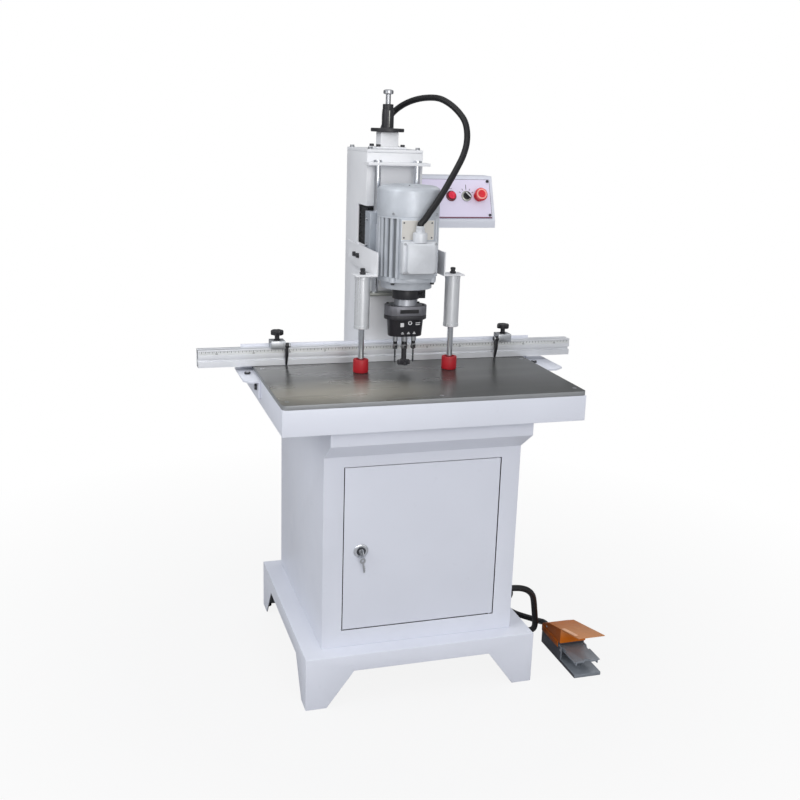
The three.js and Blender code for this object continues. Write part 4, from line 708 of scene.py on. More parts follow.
def guard_finish(name, colour):
    """Orange enamel of the pedal's guard, with a painted highlight that pales it towards its raised
    front.
    """
    material = cast_enamel(name, colour, 0, 0.16, 0.3)
    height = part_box("pedal_guard")[1].z
    up = parts_of(material.node_tree, pattern_place(material.node_tree))[2]
    # Painted highlight: a paler tan towards the top.
    painted_highlight = ranged(material.node_tree, up, 0, 0.75, height * 0.55, height * 0.85)
    return recoloured(material, painted_highlight, paint(198, 146, 104))


def worked_metal(name, colour, stretch, low, high, metallic=1.0, groove=0.12):
    """Bare metal with fine marks across or along it, as its stretch says."""
    material, tree, shader = bare_material(name, metallic)
    marks = clouds(tree, pattern_place(tree, stretch), 1, 4, 0.6)
    stain = ranged(tree, clouds(tree, pattern_place(tree), 9, 4, 0.6), 0, 1)
    shown(tree, shader, mixed(tree, stain, toned(colour, 0.93), toned(colour, 1.03)),
          ranged(tree, marks, low, high), marks, groove)
    return material


def moulded(name, colour, low=0.32, high=0.46, grain=0.1):
    """Moulded plastic with a fine grain."""
    material, tree, shader = bare_material(name, Specular_IOR_Level=0.5)
    place = pattern_place(tree)
    tone = ranged(tree, clouds(tree, place, 30, 3), 0, 1)
    shown(tree, shader, mixed(tree, tone, toned(colour, 0.88), toned(colour, 1.12)),
          ranged(tree, clouds(tree, place, 90, 3), low, high), clouds(tree, place, 1300, 2), grain)
    return material


def sheath(name, colour):
    """Smooth rubber sheath with faint rings, a dull bloom and dusty streaks along it."""
    material, tree, shader = bare_material(name, Specular_IOR_Level=0.3)
    along = pattern_place(tree, (6, 24, 1), "UV")
    rings = clouds(tree, pattern_place(tree, (1, 420, 1), "UV"), 1, 1)
    bloom = ranged(tree, clouds(tree, along, 3, 4, 0.6), 0, 1, 0.42, 0.7)
    shown(tree, shader, mixed(tree, bloom, colour, toned(colour, 1.25)),
          ranged(tree, clouds(tree, along, 8, 3), 0.3, 0.42), rings, 0.2, 0.0003)
    return material


def table_finish(name, colour):
    """Grey coated table plate: broad wear, a painted reflection as a pale patch towards the front left,
    and a soft sheen.
    """
    material, tree, shader = bare_material(name, 0.05, Specular_IOR_Level=0.3)
    wear = ranged(tree, clouds(tree, pattern_place(tree, (1.6, 3.4, 1)), 2.2, 4), 0, 1)
    tone = mixed(tree, wear, toned(colour, 0.94), toned(colour, 1.06))
    # Painted reflection: a pale, warm patch towards the front left corner.
    reach = distance(tree, (1, 2, 0), (-0.24, -0.52, 0))
    reflection_patch = calculated(tree, "MULTIPLY", ranged(tree, reach, 1, 0, 0.05, 0.3),
                        ranged(tree, wear, 0.7, 1, 0, 1))
    shown(tree, shader, mixed(tree, reflection_patch, tone, paint(168, 163, 150)),
          ranged(tree, clouds(tree, pattern_place(tree, (2, 12, 1)), 1, 2), 0.26, 0.31))
    return material


def tape_finish(name, metal):
    """Steel rule: a line each 5 millimetres and a longer one each 10."""
    material, tree, shader = bare_material(name, 0.5)
    across, _, up = parts_of(tree, pattern_place(tree))
    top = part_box("fence_rail")[1].z - RULE_TOP * MM
    height = (RULE_LOW - RULE_TOP) * MM

    def ticks(pitch, width, reach):
        spot = calculated(tree, "MODULO", calculated(tree, "ADD", across, 10 + width / 2), pitch)
        on_line = calculated(tree, "LESS_THAN", spot, width)
        tall = calculated(tree, "GREATER_THAN", up, top - height * reach)
        return calculated(tree, "MULTIPLY", on_line, tall)

    both = calculated(tree, "MAXIMUM", ticks(0.005, 0.0006, 0.3), ticks(0.010, 0.0012, 0.45))
    shine = ranged(tree, clouds(tree, pattern_place(tree), 20, 4), 0, 1)
    metal_tone = mixed(tree, shine, toned(metal, 0.92), toned(metal, 1.04))
    brushed = clouds(tree, pattern_place(tree, (30, 1, 900)), 1, 3)
    shown(tree, shader, mixed(tree, both, metal_tone, paint(52, 52, 56)),
          ranged(tree, brushed, 0.3, 0.44))
    return material


# Each finish: its maker, its colour as seen on screen or as a setting, and its maker's other values
FINISHES = {
    "coated_sheet": (powder_coat, "sheet_colour"),
    "primed_sheet": (powder_coat, (112, 114, 118)),
    "coated_post": (powder_coat, (232, 233, 236)),
    "panel_sheet": (powder_coat, "panel_colour"),
    "motor_enamel": (cast_enamel, "motor_colour"),
    "fin_enamel": (groove_shaded_enamel, "motor_colour"),
    "carriage_enamel": (cast_enamel, (178, 184, 192)),
    "terminal_enamel": (cast_enamel, (212, 215, 220), 0.15, 0.16),
    "guard_enamel": (guard_finish, "guard_colour"),
    "guard_side": (cast_enamel, (160, 80, 14), 0, 0.16, 0.3),
    "head_cover": (cast_enamel, (124, 124, 130), 0.6, 0.2),
    "black_enamel": (cast_enamel, (44, 43, 48), 0.1, 0.3),
    "pedal_enamel": (cast_enamel, "pedal_colour", 0.2, 0.2),
    "pedal_dark": (cast_enamel, (76, 77, 84), 0.15, 0.3),
    "table_plate": (table_finish, "table_colour"),
    "rule_tape": (tape_finish, (228, 230, 230)),
    "table_edge": (worked_metal, (150, 152, 154), (30, 30, 900), 0.42, 0.56, 0.4),
    "anodised_rail": (worked_metal, (228, 230, 234), (1, 160, 160), 0.32, 0.4, 0.55, 0.01),
    "anodised_barrel": (worked_metal, (236, 238, 241), (120, 120, 3), 0.26, 0.32, 0.6, 0.01),
    "etched_plate": (worked_metal, (212, 209, 203), (300, 40, 40), 0.4, 0.54, 0.15, 0.03),
    "machined_block": (worked_metal, (190, 193, 197), (160, 160, 40), 0.26, 0.42, 0.8, 0.05),
    "neck_steel": (worked_metal, (158, 160, 166), (170, 170, 4), 0.34, 0.55, 0.8, 0.06),
    "ground_steel": (worked_metal, (186, 188, 192), (20, 20, 60), 0.28, 0.36, 1.0, 0.01),
    "chrome_rod": (worked_metal, (216, 219, 224), (20, 20, 60), 0.12, 0.18, 1.0, 0.01),
    "dark_steel": (worked_metal, (92, 94, 98), (60, 60, 700), 0.3, 0.44, 0.9),
    "zinc_plate": (worked_metal, (176, 178, 172), (40, 300, 300), 0.34, 0.5, 0.7),
    "black_moulding": (moulded, (36, 36, 40)),
    "black_fastener": (moulded, (40, 40, 44), 0.26, 0.4, 0.04),
    "black_sheath": (sheath, (27, 27, 29)),
    # Matt black, also used as painted shade in the door's gap and the column's windows.
    "curtain_black": (moulded, (24, 24, 27), 0.6, 0.75, 0.3),
    "clamp_rubber": (moulded, "pad_colour", 0.42, 0.58, 0.2),
    "bleached_strip": (moulded, (250, 192, 152), 0.36, 0.5, 0.06),
    "button_red": (moulded, (236, 36, 70), 0.2, 0.3, 0.03),
    "button_green": (moulded, (32, 138, 78), 0.2, 0.3, 0.03),
    "stop_red": (moulded, (214, 34, 48), 0.22, 0.32, 0.03),
    "bezel_red": (moulded, (112, 26, 44), 0.3, 0.42, 0.03),
    "stop_ring": (moulded, (244, 168, 156), 0.3, 0.42, 0.03),
    "mark_white": (moulded, (232, 232, 234), 0.4, 0.5, 0.03),
    "line_red": (moulded, (104, 22, 54), 0.4, 0.5, 0.03),
}


def finish_of(key):
    """The material of that name, made on first use."""
    made = bpy.data.materials.get(key)
    if made is not None:
        return made
    maker, colour, *values = FINISHES[key]
    if isinstance(colour, str):
        colour = tuple(getattr(bpy.context.scene.boring_finish, colour))
    else:
        colour = paint(*colour)
    return maker(key, colour, *values)


# Settings

class BoringFinish(bpy.types.PropertyGroup):
    """Colours of the machine's finishes."""

    sheet_colour: FloatVectorProperty(
        name="Sheet colour", description="Powder coat of cabinet, table frame and column",
        subtype="COLOR", size=3, min=0, max=1, default=paint(222, 225, 235))
    motor_colour: FloatVectorProperty(
        name="Motor colour", description="Enamel of the motor's castings and cowl",
        subtype="COLOR", size=3, min=0, max=1, default=paint(196, 201, 208))
    table_colour: FloatVectorProperty(
        name="Table colour", description="Coating of the table plate",
        subtype="COLOR", size=3, min=0, max=1, default=paint(68, 69, 68))
    pad_colour: FloatVectorProperty(
        name="Pad colour", description="Rubber of the clamp pads",
        subtype="COLOR", size=3, min=0, max=1, default=paint(172, 18, 32))
    panel_colour: FloatVectorProperty(
        name="Panel colour", description="Face of the control panel",
        subtype="COLOR", size=3, min=0, max=1, default=paint(234, 227, 249))
    guard_colour: FloatVectorProperty(
        name="Guard colour", description="Enamel of the pedal's guard",
        subtype="COLOR", size=3, min=0, max=1, default=paint(214, 112, 18))
    pedal_colour: FloatVectorProperty(
        name="Pedal colour", description="Hammered enamel of the pedal's base and treadle",
        subtype="COLOR", size=3, min=0, max=1, default=paint(134, 140, 148))


class BoringSizes(bpy.types.PropertyGroup):
    """Sizes of the details that the finished pieces add."""

    fold_radius: FloatProperty(
        name="Fold radius", description="Rounding of the folded sheet's outer edges",
        unit="LENGTH", min=0.0002, max=0.0014, default=SHEET_EDGE * MM)
    round_sides: IntProperty(
        name="Round sides", description="Number of sides of the large turned pieces",
        min=24, max=96, default=48)
    cord_radius: FloatProperty(
        name="Cord radius", description="Half the pedal cord's thickness",
        unit="LENGTH", min=0.004, max=0.009, default=0.009)
    lamp_strength: FloatProperty(
        name="Lamp strength", description="Share of the studio lamps' full power",
        min=0.1, max=2, default=1)


# Cords

def smooth_route(points, steps):
    """Points close together on one smooth curve through the given ones."""
    knots = [Vector(point) for point in points]
    knots = [knots[0] * 2 - knots[1], *knots, knots[-1] * 2 - knots[-2]]
    path = []
    for a, b, c, d in zip(knots, knots[1:], knots[2:], knots[3:]):
        gap_a, gap_b, gap_c = ((q - p).length ** 0.5 for p, q in ((a, b), (b, c), (c, d)))
        leave = ((b - a) / gap_a - (c - a) / (gap_a + gap_b) + (c - b) / gap_b) * gap_b
        arrive = ((c - b) / gap_b - (d - b) / (gap_b + gap_c) + (d - c) / gap_c) * gap_b
        for step in range(steps):
            t = step / steps
            path.append(b * (2 * t**3 - 3 * t**2 + 1) + leave * (t**3 - 2 * t**2 + t)
                        + c * (3 * t**2 - 2 * t**3) + arrive * (t**3 - t**2))
    path.append(knots[-2])
    return path


def tube(name, path, radius, sides):
    """A closed tube along a path, with its length and its turn in the UV map."""
    shape = bmesh.new()
    flat = shape.loops.layers.uv.new("along")
    heading = (path[1] - path[0]).normalized()
    side = heading.orthogonal().normalized()
    rings, lengths, length = [], [], 0.0
    for index, point in enumerate(path):
        ahead = path[min(index + 1, len(path) - 1)] - path[max(index - 1, 0)]
        side = (heading.rotation_difference(ahead.normalized()).to_matrix() @ side).normalized()
        heading = ahead.normalized()
        other = heading.cross(side)
        angles = [i * 2 * math.pi / sides for i in range(sides)]
        rings.append([shape.verts.new(point + (side * math.cos(a) + other * math.sin(a)) * radius)
                      for a in angles])
        length += (point - path[max(index - 1, 0)]).length
        lengths.append(length)
    for index, (near, far) in enumerate(zip(rings, rings[1:])):
        for i in range(sides):
            j = (i + 1) % sides
            face = shape.faces.new((near[i], near[j], far[j], far[i]))
            marks = ((i, index), (i + 1, index), (i + 1, index + 1), (i, index + 1))
            for loop, (turn, step) in zip(face.loops, marks):
                loop[flat].uv = (turn / sides, lengths[step])
    shape.faces.new(reversed(rings[0]))
    shape.faces.new(rings[-1])
    mesh = bpy.data.meshes.new(name)
    shape.to_mesh(mesh)
    shape.free()
    piece = bpy.data.objects.new(name, mesh)
    bpy.context.scene.collection.objects.link(piece)
    return piece


class BORING_OT_stage(bpy.types.Operator):
    """Sets the camera, the pale floor and the soft studio light"""

    bl_idname = "boring.stage"
    bl_label = "Stage"

    def execute(self, context):
        self.place_camera(context)
        self.lay_floor()
        self.light_world(context)
        strength = context.scene.boring_sizes.lamp_strength
        for name, place, size, power, tint in LAMPS:
            self.hang_lamp(name, place, size, power * strength, tint)
        return {"FINISHED"}

    @staticmethod
    def place_camera(context):
        """The camera, from its turns in order: sideways, down and about its own axis."""
        yaw, pitch, roll = (math.radians(v) for v in (CAMERA_YAW, CAMERA_PITCH, CAMERA_ROLL))
        ahead = Vector((math.sin(yaw) * math.cos(pitch), math.cos(yaw) * math.cos(pitch),
                        -math.sin(pitch)))
        level = Vector((math.cos(yaw), -math.sin(yaw), 0))
        above = level.cross(ahead)
        right = level * math.cos(roll) + above * math.sin(roll)
        top = above * math.cos(roll) - level * math.sin(roll)
        start_clean()
        bpy.ops.object.camera_add(location=CAMERA_PLACE)
        camera = bpy.context.object
        camera.name = "camera"
        way = Matrix((right, top, -ahead)).transposed().to_4x4()
        camera.matrix_world = Matrix.Translation(CAMERA_PLACE) @ way
        camera.data.lens = CAMERA_LENS
        camera.data.sensor_width = CAMERA_SENSOR
        camera.data.clip_start, camera.data.clip_end = CAMERA_RANGE
        context.scene.camera = camera
        context.scene.view_settings.view_transform = "Standard"

    @staticmethod
    def lay_floor():
        """A pale floor that the camera sees melt into the white around it."""
        start_clean()
        bpy.ops.mesh.primitive_plane_add(size=FLOOR_SIZE, location=(0, 0, 0))
        floor = named(bpy.context.object, "floor")
        material = bpy.data.materials.new("pale_floor")
        material.use_nodes = True
        tree = material.node_tree
        tree.nodes.clear()
        matt = add_node(tree, "BsdfDiffuse", Color=FLOOR_COLOUR).outputs["BSDF"]
        glow = add_node(tree, "Emission").outputs["Emission"]
        seen = add_node(tree, "LightPath").outputs["Is Camera Ray"]
        far = ranged(tree, distance(tree, (1, 1, 1), (0, 0, 0)), 0.88, 1, 0.7, 2.0)
        share = calculated(tree, "MULTIPLY", seen, far)
        add_node(tree, "OutputMaterial", Surface=blended(tree, share, matt, glow))
        floor.data.materials.append(material)

    @staticmethod
    def light_world(context):
        """White to the camera, soft light on the pieces, and a dark and bright room in their gloss."""
        world = bpy.data.worlds.new("studio")
        context.scene.world = world
        world.use_nodes = True
        tree = world.node_tree
        tree.nodes.clear()
        way = pattern_place(tree, source="Generated")
        _, back, up = parts_of(tree, way)
        facing = ranged(tree, calculated(tree, "MULTIPLY", back, -1), 0, 1, -0.3, 0.75)
        rise = ranged(tree, up, 0, 0.6, 0.1, 0.9)
        screens = ranged(tree, clouds(tree, way, 2.2, 1), 0, 1, 0.42, 0.58)
        share = calculated(tree, "MAXIMUM", facing, rise)
        dark = mixed(tree, screens, (0.07, 0.072, 0.08), (0.24, 0.245, 0.26))
        bright = mixed(tree, screens, (0.72, 0.73, 0.75), (1.0, 1.0, 1.0))
        ray = add_node(tree, "LightPath").outputs
        soft, room, white = (
            add_node(tree, "Background", Color=colour, Strength=strength).outputs["Background"]
            for colour, strength in (((0.95, 0.97, 1.0, 1), 0.66),
                                     (mixed(tree, share, dark, bright), 1), ((1, 1, 1, 1), 1))
        )
        inner = blended(tree, ray["Is Glossy Ray"], soft, room)
        add_node(tree, "OutputWorld", Surface=blended(tree, ray["Is Camera Ray"], inner, white))

    @staticmethod
    def hang_lamp(name, place, size, power, tint):
        """A round lamp that faces the machine."""
        start_clean()
        bpy.ops.object.light_add(type="AREA", location=place)
        lamp = bpy.context.object
        lamp.name = name
        lamp.data.shape = "DISK"
        lamp.data.size = size
        lamp.data.energy = power
        lamp.data.color = tint
        lamp.rotation_mode = "QUATERNION"
        lamp.rotation_quaternion = (Vector(LAMP_TARGET) - Vector(place)).to_track_quat("-Z", "Y")


class BORING_OT_cords(bpy.types.Operator):
    """Lays the pedal's cord with its glands and the motor's conduit"""

    bl_idname = "boring.cords"
    bl_label = "Cords"

    def execute(self, context):
        radius = context.scene.boring_sizes.cord_radius
        path = smooth_route(CORD_ROUTE, CORD_STEPS)
        cord = settle(tube("pedal_cord_sheath", path, radius, CORD_SIDES), "black_sheath", "pedal_cord")

        low, _, middle = box_of("cord_gland")
        wall = (low.x + 10, middle.y, middle.z)
        nut = turned("gland_nut", [(13, 0), (13, 12), (11.4, 14)], wall, RIGHT, sides=6)
        thread = turned("gland_thread", [(9, -10), (9, 1)], wall, RIGHT, sides=24)
        relief = turned("gland_relief", [
            (12.4, 13.5), (12.4, 17), (11.6, 18.5), (11.2, 19), (11.4, 20.5), (10.9, 22.5),
            (10.4, 25.6), (9.2, 26),
        ], wall, RIGHT, sides=32)
        gland = settle(joined("gland_body", nut, thread, relief), "black_moulding", "cord_gland")

        end = Vector(CORD_ROUTE[-1]) / MM
        bush = turned("pedal_bush", [
            (8.9, 0), (12.4, 0), (12.4, 2), (11, 3.4), (10.4, 7), (9.4, 9.5), (8.9, 9.6), (8.9, 0),
        ], (end.x, end.y - SEAT, end.z), BACKWARD, sides=32, ring=True)
        settle(bush, "black_moulding", "pedal_base", "black_plastic")

        self.bend_conduit()
        return {"FINISHED"}

    @staticmethod
    def bend_conduit():
        """The motor's conduit, in metres, from the column's cap over to the terminal box."""
        cap_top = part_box("column_cap")[1].z
        box_low, box_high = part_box("terminal_box")
        start = Vector((*CONDUIT_START, cap_top + SEAT * MM))
        end = Vector((0, box_low.y + BOSS_AXIS * MM, box_high.z + SEAT * MM))
        lead = UP * CONDUIT_LEAD
        bend = [
            (start.x + CONDUIT_REACH * across, start.y + (end.y - start.y) * forward,
             start.z + CONDUIT_RISE * up)
            for across, forward, up in CONDUIT_SHARES
        ]
        path = smooth_route([start, start + lead, *bend, end + lead / 3, end], CORD_STEPS)
        conduit = tube("conduit_sleeve", path, CONDUIT_RADIUS, CORD_SIDES)
        pick(conduit)
        bpy.ops.object.shade_smooth_by_angle(angle=math.radians(SMOOTH_ANGLE))
        conduit.data.materials.append(finish_of("black_sheath"))
        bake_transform(conduit)
        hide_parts("motor_conduit")


class BORING_OT_cabinet(bpy.types.Operator):
    """Folds the plinth, the cabinet and the table frame"""

    bl_idname = "boring.cabinet"
    bl_label = "Cabinet and plinth"

    def execute(self, context):
        fold = context.scene.boring_sizes.fold_radius / MM
        plinth, cabinet, _ = (
            covered(node, name, "coated_sheet", fold)
            for node, name in (("plinth", "plinth_shell"), ("cabinet", "cabinet_shell"),
                               ("table_frame", "apron_frame"))
        )
        self.line_opening(cabinet)
        self.set_feet(plinth)
        self.fit_electrics()
        return {"FINISHED"}

    @staticmethod
    def set_feet(shell):
        """Painted shade on the plinth's inner faces, and a levelling foot in each corner."""
        low, high, middle = box_of("plinth")
        half = (high - low) / 2
        # Painted shade: the plinth's inner faces are a darker grey.
        paint_where(shell, "primed_sheet", lambda c, n: (
            n.x * (c.x - middle.x) < -10 or n.y * (c.y - middle.y) < -10)
            and abs(c.x - middle.x) < half.x - 1
            and abs(c.y - middle.y) < half.y - 1 and c.z < high.z - 6)
        for index, (x, y) in corners((high.x - 14, high.y - 14), (low.x + 14, low.y + 14)):
            foot = turned(f"levelling_foot_{index}", [
                (8.6, 0), (9.4, 1), (9.4, 8), (7, 10), (4, 10), (4, 34),
            ], (x, y, 0), sides=28)
            settle(foot, "black_moulding", "plinth", "black_rubber")

    @staticmethod
    def line_opening(shell):
        """Painted shade: black faces around the door's opening, so that the gap looks dark."""
        low, high, _ = box_of("cabinet_door")
        shade_margin = 3.4
        paint_where(shell, "curtain_black", lambda c, n: (
            c.y < high.y + shade_margin and abs(n.y) < 0.85
            and low.x - shade_margin < c.x < high.x + shade_margin and low.z - shade_margin < c.z < high.z + shade_margin))

    @staticmethod
    def fit_electrics():
        """Mounting plate with its contactor and air valve inside the cabinet."""
        node = "electrics_plate"
        plate = covered(node, "electrics_tray", "zinc_plate", FINE_EDGE)
        low, high, middle = box_of(node)
        face = high.y - 3
        paint_where(plate, "black_moulding", lambda c, n: c.y < face - 1 and c.z > middle.z)
        paint_where(plate, "machined_block", lambda c, n: c.y < face - 1 and c.z < middle.z)
        edge = (high - low) * 0.07
        for index, (x, z) in corners((high.x - edge.x, high.z - edge.z),
                                     (low.x + edge.x, low.z + edge.z)):
            cap_screw(f"tray_screw_{index}", node, 5, 4, (x, face, z), FORWARD, "ground_steel")
        for index in range(5):
            x = 30 + index * 22
            terminal = boxed(f"rail_terminal_{index}", (x, face - 40, high.z - 110),
                             (x + 20, face, high.z - 50), 1)
            settle(terminal, "terminal_enamel", node, "grey_cast")
            cap_screw(f"terminal_screw_{index}", node, 3, 2, (x + 10, face - 40, high.z - 65),
                      FORWARD, "ground_steel")


class BORING_OT_door(bpy.types.Operator):
    """Hangs the door with its lock and keys"""

    bl_idname = "boring.door"
    bl_label = "Door and lock"

    def execute(self, context):
        leaf = covered("cabinet_door", "door_leaf", "coated_sheet",
                       context.scene.boring_sizes.fold_radius / MM)
        low, high, _ = box_of("cabinet_door")
        # Painted shade: the door's edge faces are black, so that the gap around it looks dark.
        paint_where(leaf, "curtain_black", lambda c, n: abs(n.y) < 0.75 and (
            c.x < low.x + 1 or c.x > high.x - 1 or c.z < low.z + 1 or c.z > high.z - 1))

        low, high, middle = box_of("door_lock")
        depth = high.y - low.y
        lock = turned("lock_rosette", [
            (13, 0), (13, depth - 4), (20, depth - 4), (20, depth - 2.2), (18.6, depth - 0.6),
            (16.4, depth), (12.4, depth), (11.4, depth - 1.4), (6.4, depth - 1.8), (6.4, depth - 6),
        ], (middle.x, high.y, middle.z), FORWARD)
        settle(lock, "chrome_rod", "door_lock")
        paint_where(lock, "dark_steel", lambda c, n: c.y < low.y + 2.6
                    and math.hypot(c.x - middle.x, c.z - middle.z) < 13)
        self.cut_keys(middle.x, middle.z)
        return {"FINISHED"}

    @staticmethod
    def cut_keys(x, z):
        """The key in the lock, its cam behind, and the spare key that hangs from it on a ring."""
        low, high, _ = box_of("door_key")
        face = low.y + 22
        plug = turned("key_plug", [(6, 0), (6, high.y - face - 0.8), (5.2, high.y - face)],
                      (x, high.y, z), FORWARD, sides=32)
        cam = boxed("key_cam", (x - 7, high.y - 3, low.z), (x + 7, high.y, z + 7))
        blade = boxed("key_blade", (x - 1.2, face - 10, z - 3.6), (x + 1.2, face + 2, z + 3.6), 0.4)
        bow = turned("key_bow", [
            (3.2, -1.2), (10.4, -1.2), (11, -0.6), (11, 0.6), (10.4, 1.2), (3.2, 1.2), (3.2, -1.2),
        ], (x, face - 11, z), RIGHT, sides=32, ring=True)
        settle(joined("key_in_lock", plug, cam, blade, bow), "ground_steel", "door_key")

        start_clean()
        ring_z = z - 8.5
        bpy.ops.mesh.primitive_torus_add(major_radius=7.5 * MM, minor_radius=0.6 * MM,
                                         major_segments=40, minor_segments=10)
        ring = named(bpy.context.object, "key_ring")
        ring.data.transform(move_by((x, face - 11, ring_z)) @ turn_by(90, "X"))
        soften(ring, 0.1, 1, 80)
        settle(ring, "chrome_rod", "door_key", "chrome")

        hang_y, hang_z = face - 9, ring_z - 14
        bow = turned("spare_bow", [
            (2.8, -1), (7.6, -1), (8.2, -0.5), (8.2, 0.5), (7.6, 1), (2.8, 1), (2.8, -1),
        ], (x, hang_y, hang_z), BACKWARD, sides=32, ring=True)
        blade = boxed("spare_blade", (x - 2.6, hang_y - 0.9, hang_z - 34),
                      (x + 2.6, hang_y + 0.9, hang_z - 6), 0.4)
        teeth = [
            boxed(f"spare_tooth_{i}", (x + 2, hang_y - 0.8, hang_z - 30 + 6 * i),
                  (x + 3.6 + 0.5 * (i % 2), hang_y + 0.8, hang_z - 26.6 + 6 * i), 0.3)
            for i in range(3)
        ]
        spare = joined("spare_key", bow, blade, *teeth)
        pivot = move_by((x, hang_y, ring_z))
        spare.data.transform(pivot @ turn_by(-8, "Y") @ pivot.inverted())
        settle(spare, "ground_steel", "door_key", "chrome")


class BORING_OT_table(bpy.types.Operator):
    """Lays the table plate with its countersunk screws"""

    bl_idname = "boring.table"
    bl_label = "Table plate"

    def execute(self, context):
        plate = covered("table_top", "table_plate", "table_plate", 1, 2)
        paint_where(plate, "table_edge", lambda c, n: n.z < 0.8)
        top = box_of("table_top")[1].z
        spots = ((382, -317), (10, -327), (-382, -317), (382, 30), (-382, 30))
        for index, spot in enumerate(spots):
            screw = turned(f"plate_screw_{index}", [
                (5.5, -1), (5.5, 0.25), (5, 0.4), (2.6, 0.4), (2.4, 0), (2.2, -0.8),
            ], (*spot, top - 0.1), sides=24)
            settle(screw, "ground_steel", "table_top", "steel")
        return {"FINISHED"}


class BORING_OT_fence(bpy.types.Operator):
    """Fits the fence with its rule, beam, brackets and flip stops"""

    bl_idname = "boring.fence"
    bl_label = "Fence and stops"

    def execute(self, context):
        rail = covered("fence_rail", "fence_profile", "anodised_rail", 0.5, 2, angle=12)
        paint_where(rail, "dark_steel", lambda c, n: abs(n.x) > 0.9)
        covered("fence_beam", "fence_back_bar", "coated_sheet", 1, 2)
        self.fit_rule()
        for label, side in SIDES:
            self.fit_bracket(label, side)
        for label, side in SIDES:
            self.fit_stop(label, side)
            self.fit_star(label)
        return {"FINISHED"}

    @staticmethod
    def fit_rule():
        """The steel rule in its groove, with a plain number each 100 millimetres."""
        low, high, _ = box_of("fence_rail")
        face = low.y + 0.9
        rule = boxed("fence_rule", (low.x + 2, face, high.z - RULE_LOW),
                     (high.x - 2, face + 0.8, high.z - RULE_TOP), 0.15, 1)
        settle(rule, "rule_tape", "fence_rail", "aluminium")
        digits = []
        for mark in range(-5, 6):
            start_clean()
            bpy.ops.object.text_add(location=(0, 0, 0))
            text = bpy.context.object
            text.data.body = str(abs(mark) * 10)
            text.data.size = 6.4 * MM
            text.data.align_x = "CENTER"
            text.data.extrude = 0.06 * MM
            bpy.ops.object.convert(target="MESH")
            number = named(bpy.context.object, f"rule_number_{mark + 5}")
            place = (mark * 100, face - 0.05, high.z - RULE_LOW + 0.5)
            number.data.transform(move_by(place) @ turn_by(90, "X"))
            digits.append(number)
        settle(joined("rule_numbers", *digits), "black_fastener", "fence_rail", "black_plastic")

    @staticmethod
    def fit_bracket(label, side):
        """A bracket that holds the fence, with its two screws."""
        node = f"fence_bracket_{label}"
        covered(node, f"fence_wing_{label}", "coated_sheet", 1, 2)
        low, high, _ = box_of(node)
        edge = edge_of(low, high, -side)
        cap_screw(f"wing_screw_{label}", node, 8.4, 6.2,
                  (edge + side * 22, low.y + 85, high.z - 5.6), UP)
        cap_screw(f"flange_screw_{label}", node, 8.4, 6.2,
                  (edge + side * 5.4, low.y + 34, high.z - 29), (side, 0, 0))

    @staticmethod
    def fit_stop(label, side):
        """A flip stop's carrier and its blade, with the hinge's knuckle and pin."""
        block, node = f"stop_block_{label}", f"stop_blade_{label}"
        covered(block, f"stop_carrier_{label}", "machined_block", 1, 2, 8)
        blade = covered(node, f"stop_flap_{label}", "black_moulding", 0.9, 2, 5)
        low, high, middle = box_of(node)
        squeezed(blade, lambda co: co.z < low.z + 20, (0.6, 0.7, 1), (middle.x, high.y, 0))
        hinge = (edge_of(low, high, -side) - side * 1.8, *STOP_HINGE)
        knuckle = turned(f"stop_knuckle_{label}", [(6.4, 0), (7.2, 1), (7.2, 10.6), (6.4, 11.6)],
                         hinge, (side, 0, 0), sides=28)
        settle(knuckle, "black_fastener", node, "black_plastic")
        low, high, _ = box_of(block)
        hinge = (edge_of(low, high, -side) + side, *STOP_HINGE)
        cap_screw(f"stop_pin_{label}", block, 6.4, 2.4, hinge, (-side, 0, 0))

    @staticmethod
    def fit_star(label):
        """The star knob that clamps a flip stop, on its stem and stud."""
        node = f"stop_knob_{label}"
        low, high, middle = box_of(node)
        axis = (middle.x, middle.y, 0)
        top = high.z - 13
        knob = turned(f"stop_star_{label}", [
            (16.6, 0), (17.5, 1.2), (17.5, 10.4), (15.4, 12.6), (9, 13), (8, 12), (5, 11.8),
        ], sides=48)
        squeezed(knob, lambda co: co.to_2d().length > 10
                 and math.cos(6 * math.atan2(co.y, co.x)) < -0.25, (0.86, 0.86, 1), (0, 0, 0))
        placed(knob, (middle.x, middle.y, top), UP)
        stem = turned(f"stop_stem_{label}", [
            (9, low.z + 16.6), (9, low.z + 18), (6.6, low.z + 20), (6.6, top - 3), (9, top + 0.5),
        ], axis, sides=32)
        stud = turned(f"stop_stud_{label}", [(4, low.z), (4, low.z + 18)], axis, sides=20)
        settle(joined(f"stop_star_{label}", knob, stem, stud), "black_moulding", node)


